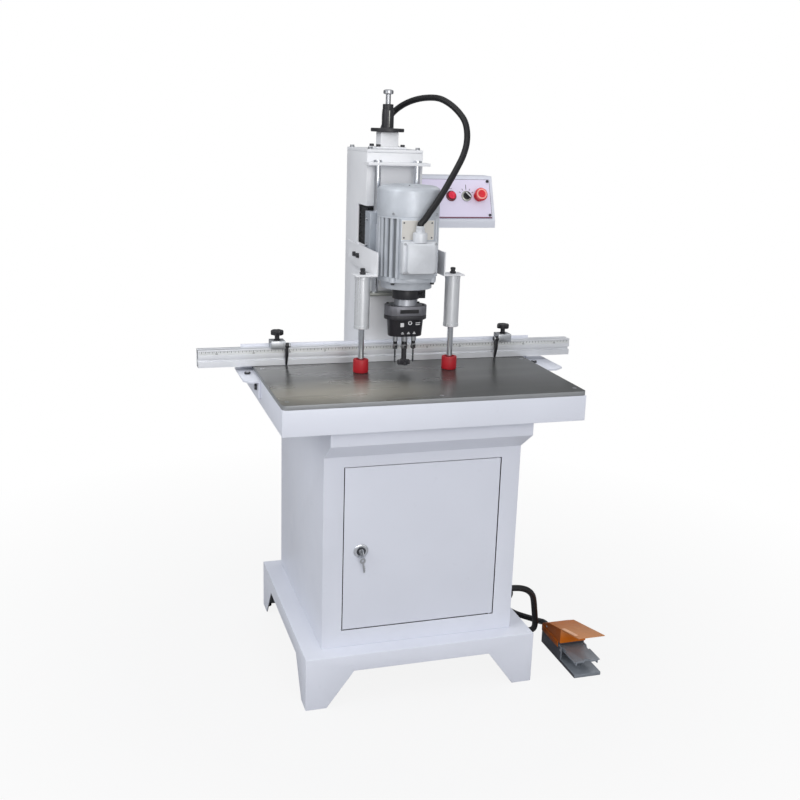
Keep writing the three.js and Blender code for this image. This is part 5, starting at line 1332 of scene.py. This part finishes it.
class BORING_OT_column(bpy.types.Operator):
    """Raises the column with its cap, a black sheet of painted shade in each window, feed cylinder and
    depth stop
    """

    bl_idname = "boring.column"
    bl_label = "Column and feed"

    def execute(self, context):
        covered("column", "column_post", "coated_post", context.scene.boring_sizes.fold_radius / MM)
        cap = covered("column_cap", "column_head", "coated_post", 1, 2)
        deck = box_of("column_cap")[0].z + 8
        paint_where(cap, "black_moulding", lambda c, n: c.z > deck + 7)
        for index, (x, y) in corners((-68, 115), (68, 313)):
            hex_bolt(f"cap_bolt_{index}", "column_cap", 6.3, 6.6, (x, y, deck), UP)
        for label, side in SIDES:
            self.hang_painted_shade(label, side)
        self.fit_feed(deck + 6.3)
        self.fit_guides()
        return {"FINISHED"}

    @staticmethod
    def hang_painted_shade(label, side):
        """A pleated black sheet of painted shade behind one of the column's side windows."""
        start_clean()
        bpy.ops.mesh.primitive_grid_add(x_subdivisions=24, y_subdivisions=1, size=1)
        sheet = named(bpy.context.object, f"painted_shade_sheet_{label}")
        upright = Matrix(((0, 0, 1), (0, SHADE_WIDTH * MM, 0), (-SHADE_HEIGHT * MM, 0, 0)))
        place = move_by(SHADE_PLACE * Vector((side, 1, 1)))
        sheet.data.transform(place @ upright.to_4x4())
        rows = sorted({round((point.co / MM).z, 2) for point in sheet.data.vertices})
        pushed(sheet, lambda co: rows.index(round(co.z, 2)) % 2 == 1, (side * SHADE_PLEAT, 0, 0))
        pick(sheet)
        wall = sheet.modifiers.new("shade_wall", "SOLIDIFY")
        wall.thickness = SHADE_THICKNESS * MM
        bpy.ops.object.modifier_apply(modifier=wall.name)
        settle(sheet, "curtain_black", "column", "black_rubber", 20)

    @staticmethod
    def fit_feed(deck):
        """The feed cylinder on the cap, the depth stop's collar and the feed rod."""
        covered("feed_cylinder", "feed_barrel", "coated_post", 1.4)
        _, _, middle = box_of("feed_cylinder")
        for index, (x, y) in corners((middle.x - 35, middle.y - 35), (middle.x + 35, middle.y + 35)):
            cap_screw(f"feed_screw_{index}", "feed_cylinder", 6.4, 6.6, (x, y, deck), UP)

        spun("depth_stop", "depth_collar", "black_moulding", [
            (8.2, 0), (45.5, 0), (47, 1.5), (47, 8.5), (45.5, 10), (18.5, 10), (17, 11.5), (17, 48.6),
            (16, 60), (15, 60.6), (15, 73.5), (13.6, 75), (8.2, 75), (8.2, 0),
        ], 64, ring=True)
        low, _, middle = box_of("depth_stop")
        slits = []
        for index in range(4):
            slit = boxed(f"depth_slit_{index}", (-1.3, -17.3, 14), (1.3, -12.5, 58), 0.5)
            slit.data.transform(move_by((middle.x, middle.y, low.z)) @ turn_by(90 * index, "Z"))
            slits.append(slit)
        settle(joined("depth_windows", *slits), "zinc_plate", "depth_stop", "steel")

        height = height_of("feed_rod")
        spun("feed_rod", "feed_spindle", "ground_steel", [
            (6.4, 0), (7, 1), (7, height - 13.2), (12.6, height - 12), (14, height - 10.4),
            (14, height - 3), (10.4, height - 0.8), (7, height),
        ], 40)

    @staticmethod
    def fit_guides():
        """The guide rods between their upper and lower plates."""
        covered("rod_plate_upper", "guide_bridge_upper", "coated_post", 1, 2)
        covered("rod_plate_lower", "guide_bridge_lower", "zinc_plate", 1, 2)
        for label, _ in SIDES:
            node = f"guide_rod_{label}"
            height = height_of(node)
            spun(node, f"guide_shaft_{label}", "chrome_rod", [
                (8.2, 0), (9, 0.8), (9, height - 6), (12, height - 6), (12, height - 1.4),
                (10.8, height), (6, height), (5.6, height - 3),
            ], 40)


class BORING_OT_motor(bpy.types.Operator):
    """Builds the motor with its carriage, cowl, end bell and terminal box"""

    bl_idname = "boring.motor"
    bl_label = "Motor and carriage"

    def execute(self, context):
        covered("carriage", "carriage_casting", "carriage_enamel", CAST_EDGE)
        low, high, _ = box_of("carriage")
        for label, side in SIDES:
            x = edge_of(low, high, side) - side * 0.2
            for index, z in enumerate((high.z - 20, low.z + 20)):
                cap_screw(f"carriage_screw_{label}_{index}", "carriage", 5, 5, (x, low.y + 25, z),
                          (side, 0, 0), "ground_steel")
        covered("motor_body", "motor_casing", "fin_enamel", 0.8, 2)
        self.press_cowl()
        covered("motor_end_bell", "motor_shield", "motor_enamel", 1, 2, 6)
        _, high, middle = box_of("motor_end_bell")
        for index, out in spokes():
            place = Vector((middle.x, middle.y, high.z - 13)) + out * 78
            cap_screw(f"shield_screw_{index}", "motor_end_bell", 5.4, 6, place, DOWN)
        self.fit_terminal_box()
        self.rivet_plate()
        return {"FINISHED"}

    @staticmethod
    def press_cowl():
        """Fan cowl with a grille of slots in its crown."""
        sides = 64
        low, high, middle = box_of("fan_cowl")
        height = high.z - low.z
        rim = (high.x - low.x) / 2
        cowl = spun("fan_cowl", "fan_hood", "motor_enamel", [
            (rim - 2.4, 0), (rim, 0), (rim, 2), (rim - 0.8, 3), (rim - 0.8, 5), (rim, 6),
            (rim, height * 0.8), (rim - 1.2, height * 0.85), (rim * 0.95, height * 0.895),
            (rim * 0.88, height * 0.94), (rim * 0.8, height * 0.955), (rim * 0.62, height * 0.97),
            (rim * 0.26, height * 0.99), (rim * 0.08, height), (rim * 0.06, height - 2),
            (rim * 0.62, height * 0.93), (rim * 0.86, height * 0.9), (rim - 3.4, height * 0.8),
            (rim - 2.4, 0),
        ], sides, ring=True)
        cowl.data.materials.append(finish_of("curtain_black"))
        sector = 2 * math.pi / sides

        def in_slot(centre, normal):
            reach = (centre - middle).to_2d().length
            sectors = math.atan2(centre.y - middle.y, centre.x - middle.x) / sector
            return (normal.z > 0.5 and centre.z > low.z + height * 0.96
                    and rim * 0.3 < reach < rim * 0.6 and sectors % 4 < 2)

        choose_faces(cowl, in_slot)
        bpy.ops.mesh.inset(thickness=1.2 * MM)
        bpy.ops.mesh.extrude_region_shrink_fatten(TRANSFORM_OT_shrink_fatten={"value": -1.6 * MM})
        cowl.active_material_index = 1
        bpy.ops.object.material_slot_assign()
        close_mesh()
        for index, out in spokes():
            place = Vector((middle.x, middle.y, low.z + 12)) + out * (rim - 0.6)
            cap_screw(f"hood_screw_{index}", "fan_cowl", 3.6, 2.6, place, out, "ground_steel")

    @staticmethod
    def fit_terminal_box():
        """Terminal box: a base with screws in its corners, a lid with round corners and a boss."""
        node = "terminal_box"
        low, high, _ = box_of(node)
        seam, shelf = low.y + 16, low.z + 85
        axis = (0, low.y + BOSS_AXIS, shelf)
        base = boxed("terminal_base", (low.x, seam, low.z), (high.x, high.y, shelf), 5, 4)
        lid = pressed_lid("terminal_lid", (low.x + 9, low.y, low.z + 3),
                          (high.x - 9, seam + 6, shelf - 3), 10, 3)
        boss = turned("terminal_boss", [
            (19, -2), (19, 20), (17.6, 23), (11.6, 23), (11.6, 25), (10.4, 26), (10.4, 33), (11, 34),
            (11, 38.6), (9.8, 40),
        ], axis, sides=40)
        settle(joined("terminal_housing", base, lid, boss), "terminal_enamel", node)
        for index, (x, z) in corners((high.x - 5.2, shelf - 5.2), (low.x + 5.2, low.z + 5.2)):
            cap_screw(f"terminal_bolt_{index}", node, 3.4, 4, (x, seam + 0.6, z), FORWARD,
                      "ground_steel")
        gasket = pressed_lid("terminal_gasket", (low.x + 7.8, seam - 1.4, low.z + 1.8),
                             (high.x - 7.8, seam + 2, shelf - 1.8), 11, 0.5)
        nut = turned("terminal_gland", [(12.4, 23.2), (12.4, 30), (11, 31.5)], axis, sides=6)
        for piece in (gasket, nut):
            settle(piece, "terminal_enamel", node, "grey_cast")

    @staticmethod
    def rivet_plate():
        """The bare plate above the terminal box, with a rivet in each corner."""
        high = box_of("motor_body")[1]
        shelf = box_of("terminal_box")[0].z + 87
        plate = boxed("motor_plate", (-43.5, PLATE_FACE - 0.8, shelf),
                      (43.5, PLATE_FACE, high.z - 2), 0.3, 1)
        settle(plate, "etched_plate", "motor_body", "aluminium")
        for index, (x, z) in corners((38, high.z - 8), (-38, shelf + 6)):
            rivet = turned(f"plate_rivet_{index}", [(2.4, 0), (2.2, 0.7), (1.2, 1.2)],
                           (x, PLATE_FACE - 0.7, z), FORWARD, sides=16)
            settle(rivet, "dark_steel", "motor_body", "steel")


class BORING_OT_head(bpy.types.Operator):
    """Builds the drill head with its spindles and bits"""

    bl_idname = "boring.head"
    bl_label = "Drill head"

    def execute(self, context):
        covered("clamp_ring", "neck_clamp", "black_moulding", 0.8, 2, 4)
        _, high, middle = box_of("clamp_ring")
        axis_y = middle.y
        cap_screw("neck_screw", "clamp_ring", 5, 6, (high.x - 8, axis_y - 12.8, middle.z), FORWARD)

        cover = covered("gearbox_cover", "head_lid", "head_cover", 0.8, 2, 4)
        low, _, _ = box_of("gearbox_cover")
        paint_where(cover, "neck_steel", lambda c, n: c.z > low.z + 26.5)
        plate = boxed("head_plate", (-26, low.y - 0.7, low.z + 8), (26, low.y + 2, low.z + 18), 0.4, 1)
        settle(plate, "curtain_black", "gearbox_cover", "black_metal")
        for index, (x, y) in corners((44, axis_y + 22), (-44, axis_y - 22)):
            cap_screw(f"lid_screw_{index}", "gearbox_cover", 3.6, 3.4, (x, y, low.z + 25.8), UP)

        covered("gearbox_housing", "head_housing", "black_enamel", 0.9, 2, 4)
        self.mark_housing(axis_y)
        chuck_low = box_of("hinge_bit")[1].z - 22
        self.fit_centre(axis_y, chuck_low)
        for label, side in SIDES:
            self.fit_side(label, side, axis_y, chuck_low)
        return {"FINISHED"}

    @staticmethod
    def mark_housing(axis_y):
        """Plug and plain index marks on the housing's front."""
        low, high, _ = box_of("gearbox_housing")
        front, plug_z = axis_y - 31.4, high.z - 22
        marks = [
            turned("head_plug", [
                (3.2, -3), (5.6, -3), (5.6, 0.8), (5, 1.4), (3.8, 1.4), (3.2, 0.8), (3.2, -3),
            ], (5, front, plug_z + 2.4), FORWARD, sides=28, ring=True),
            boxed("head_patch", (-22, front - 0.5, plug_z - 8), (-12, front + 3, plug_z + 3), 0.4, 1),
        ]
        for row, drop in enumerate((1.6, -3.2)):
            line = boxed(f"head_line_{row}", (-7, -0.9, drop), (7, 1.6, drop + 2.2), 0.3, 1)
            line.data.transform(move_by((28, front + 1.8, plug_z)) @ turn_by(18, "Z"))
            marks.append(line)
        for index, x in enumerate((-15, 2, 18)):
            for row, (half, z) in enumerate(((2, low.z + 11.6), (4, low.z + 8))):
                marks.append(boxed(f"head_mark_{index}_{row}", (x - half, front + 1, z),
                                   (x + half, front + 3.4, z + 1.8), 0.2, 1))
        for mark in marks:
            settle(mark, "mark_white", "gearbox_housing", "aluminium")

    @staticmethod
    def fit_centre(axis_y, chuck_low):
        """The middle spindle's chuck and the hinge bit with its point and knives."""
        node = "spindle_centre"
        chuck = turned("drive_chuck", [
            (5.4, 0), (8.2, 0), (9, 1.2), (9, 12), (7.6, 13), (7.6, 20), (9, 21), (9, 35), (8, 36),
            (7, 36), (7, box_of(node)[1].z - chuck_low),
        ], (0, axis_y, chuck_low), sides=32)
        settle(chuck, "ground_steel", node)
        paint_where(chuck, "black_fastener", lambda c, n: 12.4 < c.z - chuck_low < 20.6)
        cap_screw("chuck_screw_centre", node, 3.4, 2.4, (0, axis_y - 8.4, chuck_low + 7), FORWARD)

        low, high, _ = box_of("hinge_bit")
        axis = (0, axis_y, 0)
        cutter = low.z + 14
        bit = turned("cup_bit", [
            (17.5, low.z + 1.2), (17.5, cutter - 2), (15.4, cutter), (8, cutter), (7, cutter + 1.4),
            (7, chuck_low - SEAT), (5, chuck_low - SEAT), (5, high.z),
        ], axis, sides=48)
        squeezed(bit, lambda co: co.z < cutter + 0.1 and math.hypot(co.x, co.y - axis_y) > 10
                 and abs(math.sin(2 * math.atan2(co.y - axis_y, co.x))) > 0.6, (0.7, 0.7, 1), axis)
        settle(bit, "black_enamel", "hinge_bit")
        tips = [turned("bit_point", [(0.4, low.z), (2.6, low.z + 3.4), (2.6, low.z + 5)], axis,
                       sides=16)]
        for index, x in ((0, -17.4), (2, 15)):
            tips.append(boxed(f"bit_knife_{index}", (x, axis_y - 1.6, low.z + 0.6),
                              (x + 2.4, axis_y + 1.6, low.z + 6), 0.3, 1))
        settle(joined("bit_knives", *tips), "ground_steel", "hinge_bit", "steel")

    @staticmethod
    def fit_side(label, side, axis_y, chuck_low):
        """A side spindle's chuck with its drill."""
        node = f"spindle_{label}"
        x = side * 26
        low, high, _ = box_of(node)
        chuck = turned(f"side_chuck_{label}", [
            (2.6, 0), (5.6, 0), (7, 2), (7, 13), (5.4, 14.4), (5.4, 21), (7, 22), (7, 35), (5, 36),
            (5, high.z - chuck_low),
        ], (x, axis_y, chuck_low), sides=32)
        settle(chuck, "ground_steel", node)
        paint_where(chuck, "black_fastener", lambda c, n: 14 < c.z - chuck_low < 21)
        cap_screw(f"chuck_screw_{label}", node, 3.4, 2.2, (x, axis_y - 6.4, chuck_low + 8), FORWARD)
        drill = twist_drill(f"side_drill_{label}", 2.5, low.z, chuck_low + 1, side)
        settle(placed(drill, (x, axis_y, 0), UP), "dark_steel", node, "steel")


class BORING_OT_clamps(bpy.types.Operator):
    """Builds the two hold-down clamps"""

    bl_idname = "boring.clamps"
    bl_label = "Hold-down clamps"

    def execute(self, context):
        for label, side in SIDES:
            self.fold_bracket(label, side)
            self.build_cylinder(label)
        return {"FINISHED"}

    @staticmethod
    def fold_bracket(label, side):
        """A clamp's arm, with cap screws where the solid has plain bolt heads."""
        node = f"clamp_bracket_{label}"
        arm = folded_copy(node, f"clamp_arm_{label}", 0.9, 2, 8)
        squeezed(arm, lambda co: abs(co.x) > ARM_FACE + 0.1 and co.y > ARM_BOLTS_FROM, (0, 1, 1),
                 (side * ARM_FACE, 0, 0))
        face_outwards(arm)
        settle(arm, "coated_post", node)
        for index, y in enumerate((112, 150)):
            cap_screw(f"arm_screw_{label}_{index}", node, 7, 7.6,
                      (side * (ARM_FACE - 0.2), y, ARM_SCREW_HEIGHT), (side, 0, 0))

    @staticmethod
    def build_cylinder(label):
        """A clamp's cylinder with its air fitting, rod and pad."""
        node = f"clamp_cylinder_{label}"
        top = 141
        spun(node, f"clamp_tube_{label}", "anodised_barrel", [
            (8.4, 0), (20.2, 0), (21.2, 1), (21.2, 8.4), (20.8, 8.8), (20, 9), (20.4, 9.4),
            (20.4, top - 9.4), (20, top - 9), (20.8, top - 8.8), (21.2, top - 8.4), (21.2, top - 1),
            (20.2, top), (8.4, top),
        ], 64)
        low, _, middle = box_of(node)
        deck = (middle.x, middle.y, low.z + top + 4.3)
        nut = turned(f"air_nut_{label}", [(8.4, -0.2), (8.4, 5), (7.4, 6)], deck, sides=6)
        stem = turned(f"air_stem_{label}", [
            (6, -4.6), (6, 10), (7, 10.6), (7, 15), (6, 16.4), (4, 16.6), (3.6, 13),
        ], deck, sides=28)
        settle(joined(f"air_fitting_{label}", nut, stem), "black_fastener", node, "black_plastic")

        node = f"clamp_rod_{label}"
        height = height_of(node)
        spun(node, f"clamp_ram_{label}", "chrome_rod", [
            (7.2, 0), (8, 0.8), (8, height - 10), (15.4, height - 10), (15.4, height),
        ])
        node = f"clamp_pad_{label}"
        height = height_of(node)
        spun(node, f"clamp_foot_{label}", "clamp_rubber", [
            (19.4, 0), (20.6, 0.8), (21, 2.4), (20.9, height - 2.4), (20.2, height - 0.6),
            (19.2, height), (14.6, height), (13.6, height - 1), (13.2, height - 3.2),
            (8.6, height - 3.6), (8.3, height - 12),
        ], 56)


class BORING_OT_control(bpy.types.Operator):
    """Builds the control box with its panel, buttons and switch"""

    bl_idname = "boring.control"
    bl_label = "Control box"

    def execute(self, context):
        lean = math.atan2(PANEL_LEAN, PANEL_RISE)
        slope = math.hypot(PANEL_LEAN, PANEL_RISE)
        self.group = move_by(PANEL_PLACE) @ Matrix.Rotation(-lean, 4, "X")
        box = folded_copy("control_box", "control_case", 1, 3)
        pushed(box, lambda co: abs(co.z - CREASE_HEIGHT) < 3 and co.y < PANEL_PLACE[1] + 4,
               (0, 0, -CREASE_DROP))
        settle(box, "coated_sheet", "control_box")
        self.face_panel(slope)

        spots = [
            Vector((PANEL_FIRST + index * PANEL_PITCH, PANEL_FACE, slope * PANEL_SHARE))
            for index in range(4)
        ]
        spots[3].x += STOP_SHIFT
        for index, (finish, slot) in enumerate((
            ("black_moulding", "black_plastic"), ("bezel_red", "red_plastic"),
            ("zinc_plate", "steel"), ("stop_red", "red_plastic"),
        )):
            bezel = turned(f"control_bezel_{index}", [
                (6.6, -1.8), (15.6, -1.8), (15.6, 1.6), (14.6, 3.2), (12.4, 4), (6.6, 4), (6.6, -1.8),
            ], spots[index], FORWARD, sides=40, ring=True)
            self.lean(bezel, finish, "control_panel", slot)
        self.fit_button("start_cap", spots[0], "button_green", "start_button")
        self.fit_button("stop_cap", spots[1], "button_red", "stop_button")
        self.fit_selector(spots[2])
        self.fit_mushroom(spots[3])
        return {"FINISHED"}

    def lean(self, piece, finish, node, slot=None):
        """Leans a piece back with the panel's group and settles it."""
        piece.data.transform(self.group)
        settle(piece, finish, node, slot)

    def face_panel(self, slope):
        """The panel's sheet with its line, borders and corner screws."""
        sheet = boxed("panel_sheet", (7, PANEL_FACE, 6), (PANEL_WIDTH - 9, -SEAT, slope - 8), 0.5)
        self.lean(sheet, "panel_sheet", "control_panel")
        line = boxed("panel_line", (9, -2.6, 7.6), (PANEL_WIDTH - 11, -2.1, 10.8), 0.2, 1)
        self.lean(line, "line_red", "control_panel", "red_plastic")
        near, far, top = 8.6, PANEL_WIDTH - 10.6, slope - 8.8
        borders = [
            boxed(f"panel_border_{index}", (x0, -2.5, z0), (x1, -2.1, z1), 0.15, 1)
            for index, (x0, z0, x1, z1) in enumerate((
                (near - 1, 6.8, near, top), (far, 6.8, far + 1, top),
                (near - 1, top - 1, far + 1, top), (near - 1, 6.2, far + 1, 7),
            ))
        ]
        self.lean(joined("panel_borders", *borders), "dark_steel", "control_panel", "steel")
        for index, (x, z) in corners((PANEL_WIDTH - 16, slope - 14.4), (14, 16)):
            screw = turned(f"panel_screw_{index}", [
                (4.2, 0), (4.2, 1.6), (3.4, 2.6), (1.9, 2.6), (1.7, 1.2),
            ], (x, PANEL_FACE, z), FORWARD, sides=20)
            self.lean(screw, "black_fastener", "control_panel", "black_plastic")

    def fit_button(self, name, spot, finish, node):
        """A flat push button."""
        cap = turned(name, [
            (6, -15), (6, 7.8), (10.6, 7.8), (11, 8.2), (11, 9.8), (10, 11), (7, 10.8), (3, 10.6),
        ], spot, FORWARD, sides=40)
        self.lean(cap, finish, node)

    def fit_selector(self, spot):
        """The selector's knob with its pointer, and the plain marks around it."""
        dial = turned("selector_dial", [
            (6, -15), (6, 4.3), (11, 4.3), (11, 8), (10, 9.3), (9, 9.3),
        ], spot, FORWARD, sides=40)
        grip = boxed("selector_grip", (-3.5, -18.2, -11), (3.5, -9, 11), 1.4, 3)
        pointer = boxed("selector_pointer", (-1.6, -18.5, -10.4), (1.6, -17.4, 10.4), 0.3, 1)
        for piece in (grip, pointer):
            piece.data.transform(move_by(spot) @ turn_by(-44, "Y"))
        self.lean(joined("selector_knob", dial, grip), "black_moulding", "selector_switch")
        self.lean(pointer, "mark_white", "selector_switch", "aluminium")

        marks = []
        for index, angle in enumerate((-60, -30, 0, 30, 60)):
            reach = 25 if angle else 34
            mark = boxed(f"selector_mark_{index}", (-0.8, -2.5, 19), (0.8, -2.2, reach), 0.1, 1)
            mark.data.transform(move_by((spot.x, 0, spot.z)) @ turn_by(angle, "Y"))
            marks.append(mark)
        for index in (1, 3):
            x, z = spot.x + (index - 2) * PANEL_PITCH, spot.z + 21
            marks.append(boxed(f"panel_bar_{index}", (x - 4, -2.5, z), (x + 4, -2.2, z + 1.4), 0.1, 1))
        for mark in marks:
            self.lean(mark, "black_fastener", "control_panel", "black_plastic")

    def fit_mushroom(self, spot):
        """The emergency stop's mushroom head with its pale ring."""
        head = turned("stop_mushroom", [
            (6, -15), (6, 14), (15, 15), (18.4, 16), (19, 17.4), (19, 20.6), (18, 22.8), (15, 24.4),
            (9, 25), (3, 25),
        ], spot, FORWARD, sides=48)
        self.lean(head, "stop_red", "emergency_stop")
        ring = turned("stop_arrow_ring", [
            (11.4, 24.4), (15.2, 23.8), (15.2, 24.9), (11.4, 25.3), (11.4, 24.4),
        ], spot, FORWARD, sides=48, ring=True)
        self.lean(ring, "stop_ring", "emergency_stop", "red_plastic")


class BORING_OT_pedal(bpy.types.Operator):
    """Builds the foot pedal with its guard and treadle"""

    bl_idname = "boring.pedal"
    bl_label = "Foot pedal"

    def execute(self, context):
        base = covered("pedal_base", "pedal_casting", "pedal_enamel", 1, 2, 6)
        low, high, middle = box_of("pedal_base")
        paint_where(base, "pedal_dark", lambda c, n: c.z > 12 and c.y > low.y + 108)
        self.fold_guard(low, high)
        for label, side in SIDES:
            x = edge_of(low, high, side) - side * 0.4
            cap_screw(f"hood_pin_{label}", "pedal_guard", 3.6, 1.8, (x, high.y - 30, 66),
                      (side, 0, 0), "ground_steel")
            cap_screw(f"treadle_pin_{label}", "pedal_base", 4.6, 1.4, (x, *TREADLE_AXIS),
                      (side, 0, 0), "ground_steel")
        self.cut_treadle(middle.x)
        return {"FINISHED"}

    @staticmethod
    def fold_guard(low, high):
        """The guard with its side skirts, painted shade on its sides and a painted highlight strip on
        its hood, over the base's box.
        """
        skirts = [
            boxed(f"hood_skirt_{label}", (x - 0.9, high.y - 110, 40), (x + 0.9, high.y, 57), 0.7)
            for label, x in (("left", low.x - 1), ("right", high.x + 1))
        ]
        hood = joined("pedal_hood", folded_copy("pedal_guard", "pedal_hood", 1, 2, 6), *skirts)
        settle(hood, "guard_enamel", "pedal_guard")
        # Painted shade: the hood's sides are a darker orange.
        paint_where(hood, "guard_side", lambda c, n: abs(n.x) > 0.9 and c.y > high.y - 125)
        # Painted highlight: a pale strip along the hood's left edge.
        strip = boxed("hood_highlight_strip", (low.x + 0.6, -86, -0.6), (low.x + 12, 0, 0.8), 0.3, 1)
        strip.data.transform(move_by((0, *STRIP_START)) @ turn_by(-STRIP_RISE, "X"))
        settle(strip, "bleached_strip", "pedal_guard", "orange_paint")

    @staticmethod
    def cut_treadle(middle_x):
        """The treadle with the notch in its front edge and its side lips."""
        treadle = folded_copy("pedal_treadle", "pedal_step", 1, 2, 6)
        low, high, _ = box_of("pedal_treadle")
        notch = boxed("step_notch", (middle_x - 9, low.y - 10, low.z - 10),
                      (middle_x + 9, low.y + 7, high.z + 10), 3, 3)
        carved(treadle, notch)
        wings = [
            boxed(f"step_wing_{label}", (x - 4, low.y, high.z - 3.4),
                  (x + 4, low.y + WING_LENGTH, high.z - 0.1), 0.8)
            for label, x in (("left", low.x - 2), ("right", high.x + 2))
        ]
        settle(joined("pedal_step", treadle, *wings), "pedal_enamel", "pedal_treadle")


class BORING_PT_panel(bpy.types.Panel):
    """Lists the machine's settings and pieces in the sidebar"""

    bl_idname = "BORING_PT_panel"
    bl_label = "Boring Machine"
    bl_space_type = "VIEW_3D"
    bl_region_type = "UI"
    bl_category = "Boring Machine"

    def draw(self, context):
        for settings in (context.scene.boring_finish, context.scene.boring_sizes):
            for name in settings.__annotations__:
                self.layout.prop(settings, name)
        for operator in OPERATORS:
            self.layout.operator(operator.bl_idname)


OPERATORS = (
    BORING_OT_stage, BORING_OT_cords, BORING_OT_cabinet, BORING_OT_door, BORING_OT_table,
    BORING_OT_fence, BORING_OT_column, BORING_OT_motor, BORING_OT_head, BORING_OT_clamps,
    BORING_OT_control, BORING_OT_pedal,
)
CLASSES = (BoringFinish, BoringSizes, *OPERATORS, BORING_PT_panel)


def register():
    for item in CLASSES:
        bpy.utils.register_class(item)
    bpy.types.Scene.boring_finish = PointerProperty(type=BoringFinish)
    bpy.types.Scene.boring_sizes = PointerProperty(type=BoringSizes)


def unregister():
    del bpy.types.Scene.boring_sizes
    del bpy.types.Scene.boring_finish
    for item in reversed(CLASSES):
        bpy.utils.unregister_class(item)


def main():
    """Builds the whole scene."""
    register()
    bpy.ops.boring.stage()
    bpy.ops.boring.cords()
    bpy.ops.boring.cabinet()
    bpy.ops.boring.door()
    bpy.ops.boring.table()
    bpy.ops.boring.fence()
    bpy.ops.boring.column()
    bpy.ops.boring.motor()
    bpy.ops.boring.head()
    bpy.ops.boring.clamps()
    bpy.ops.boring.control()
    bpy.ops.boring.pedal()
    start_clean()


if __name__ == "__main__":
    main()
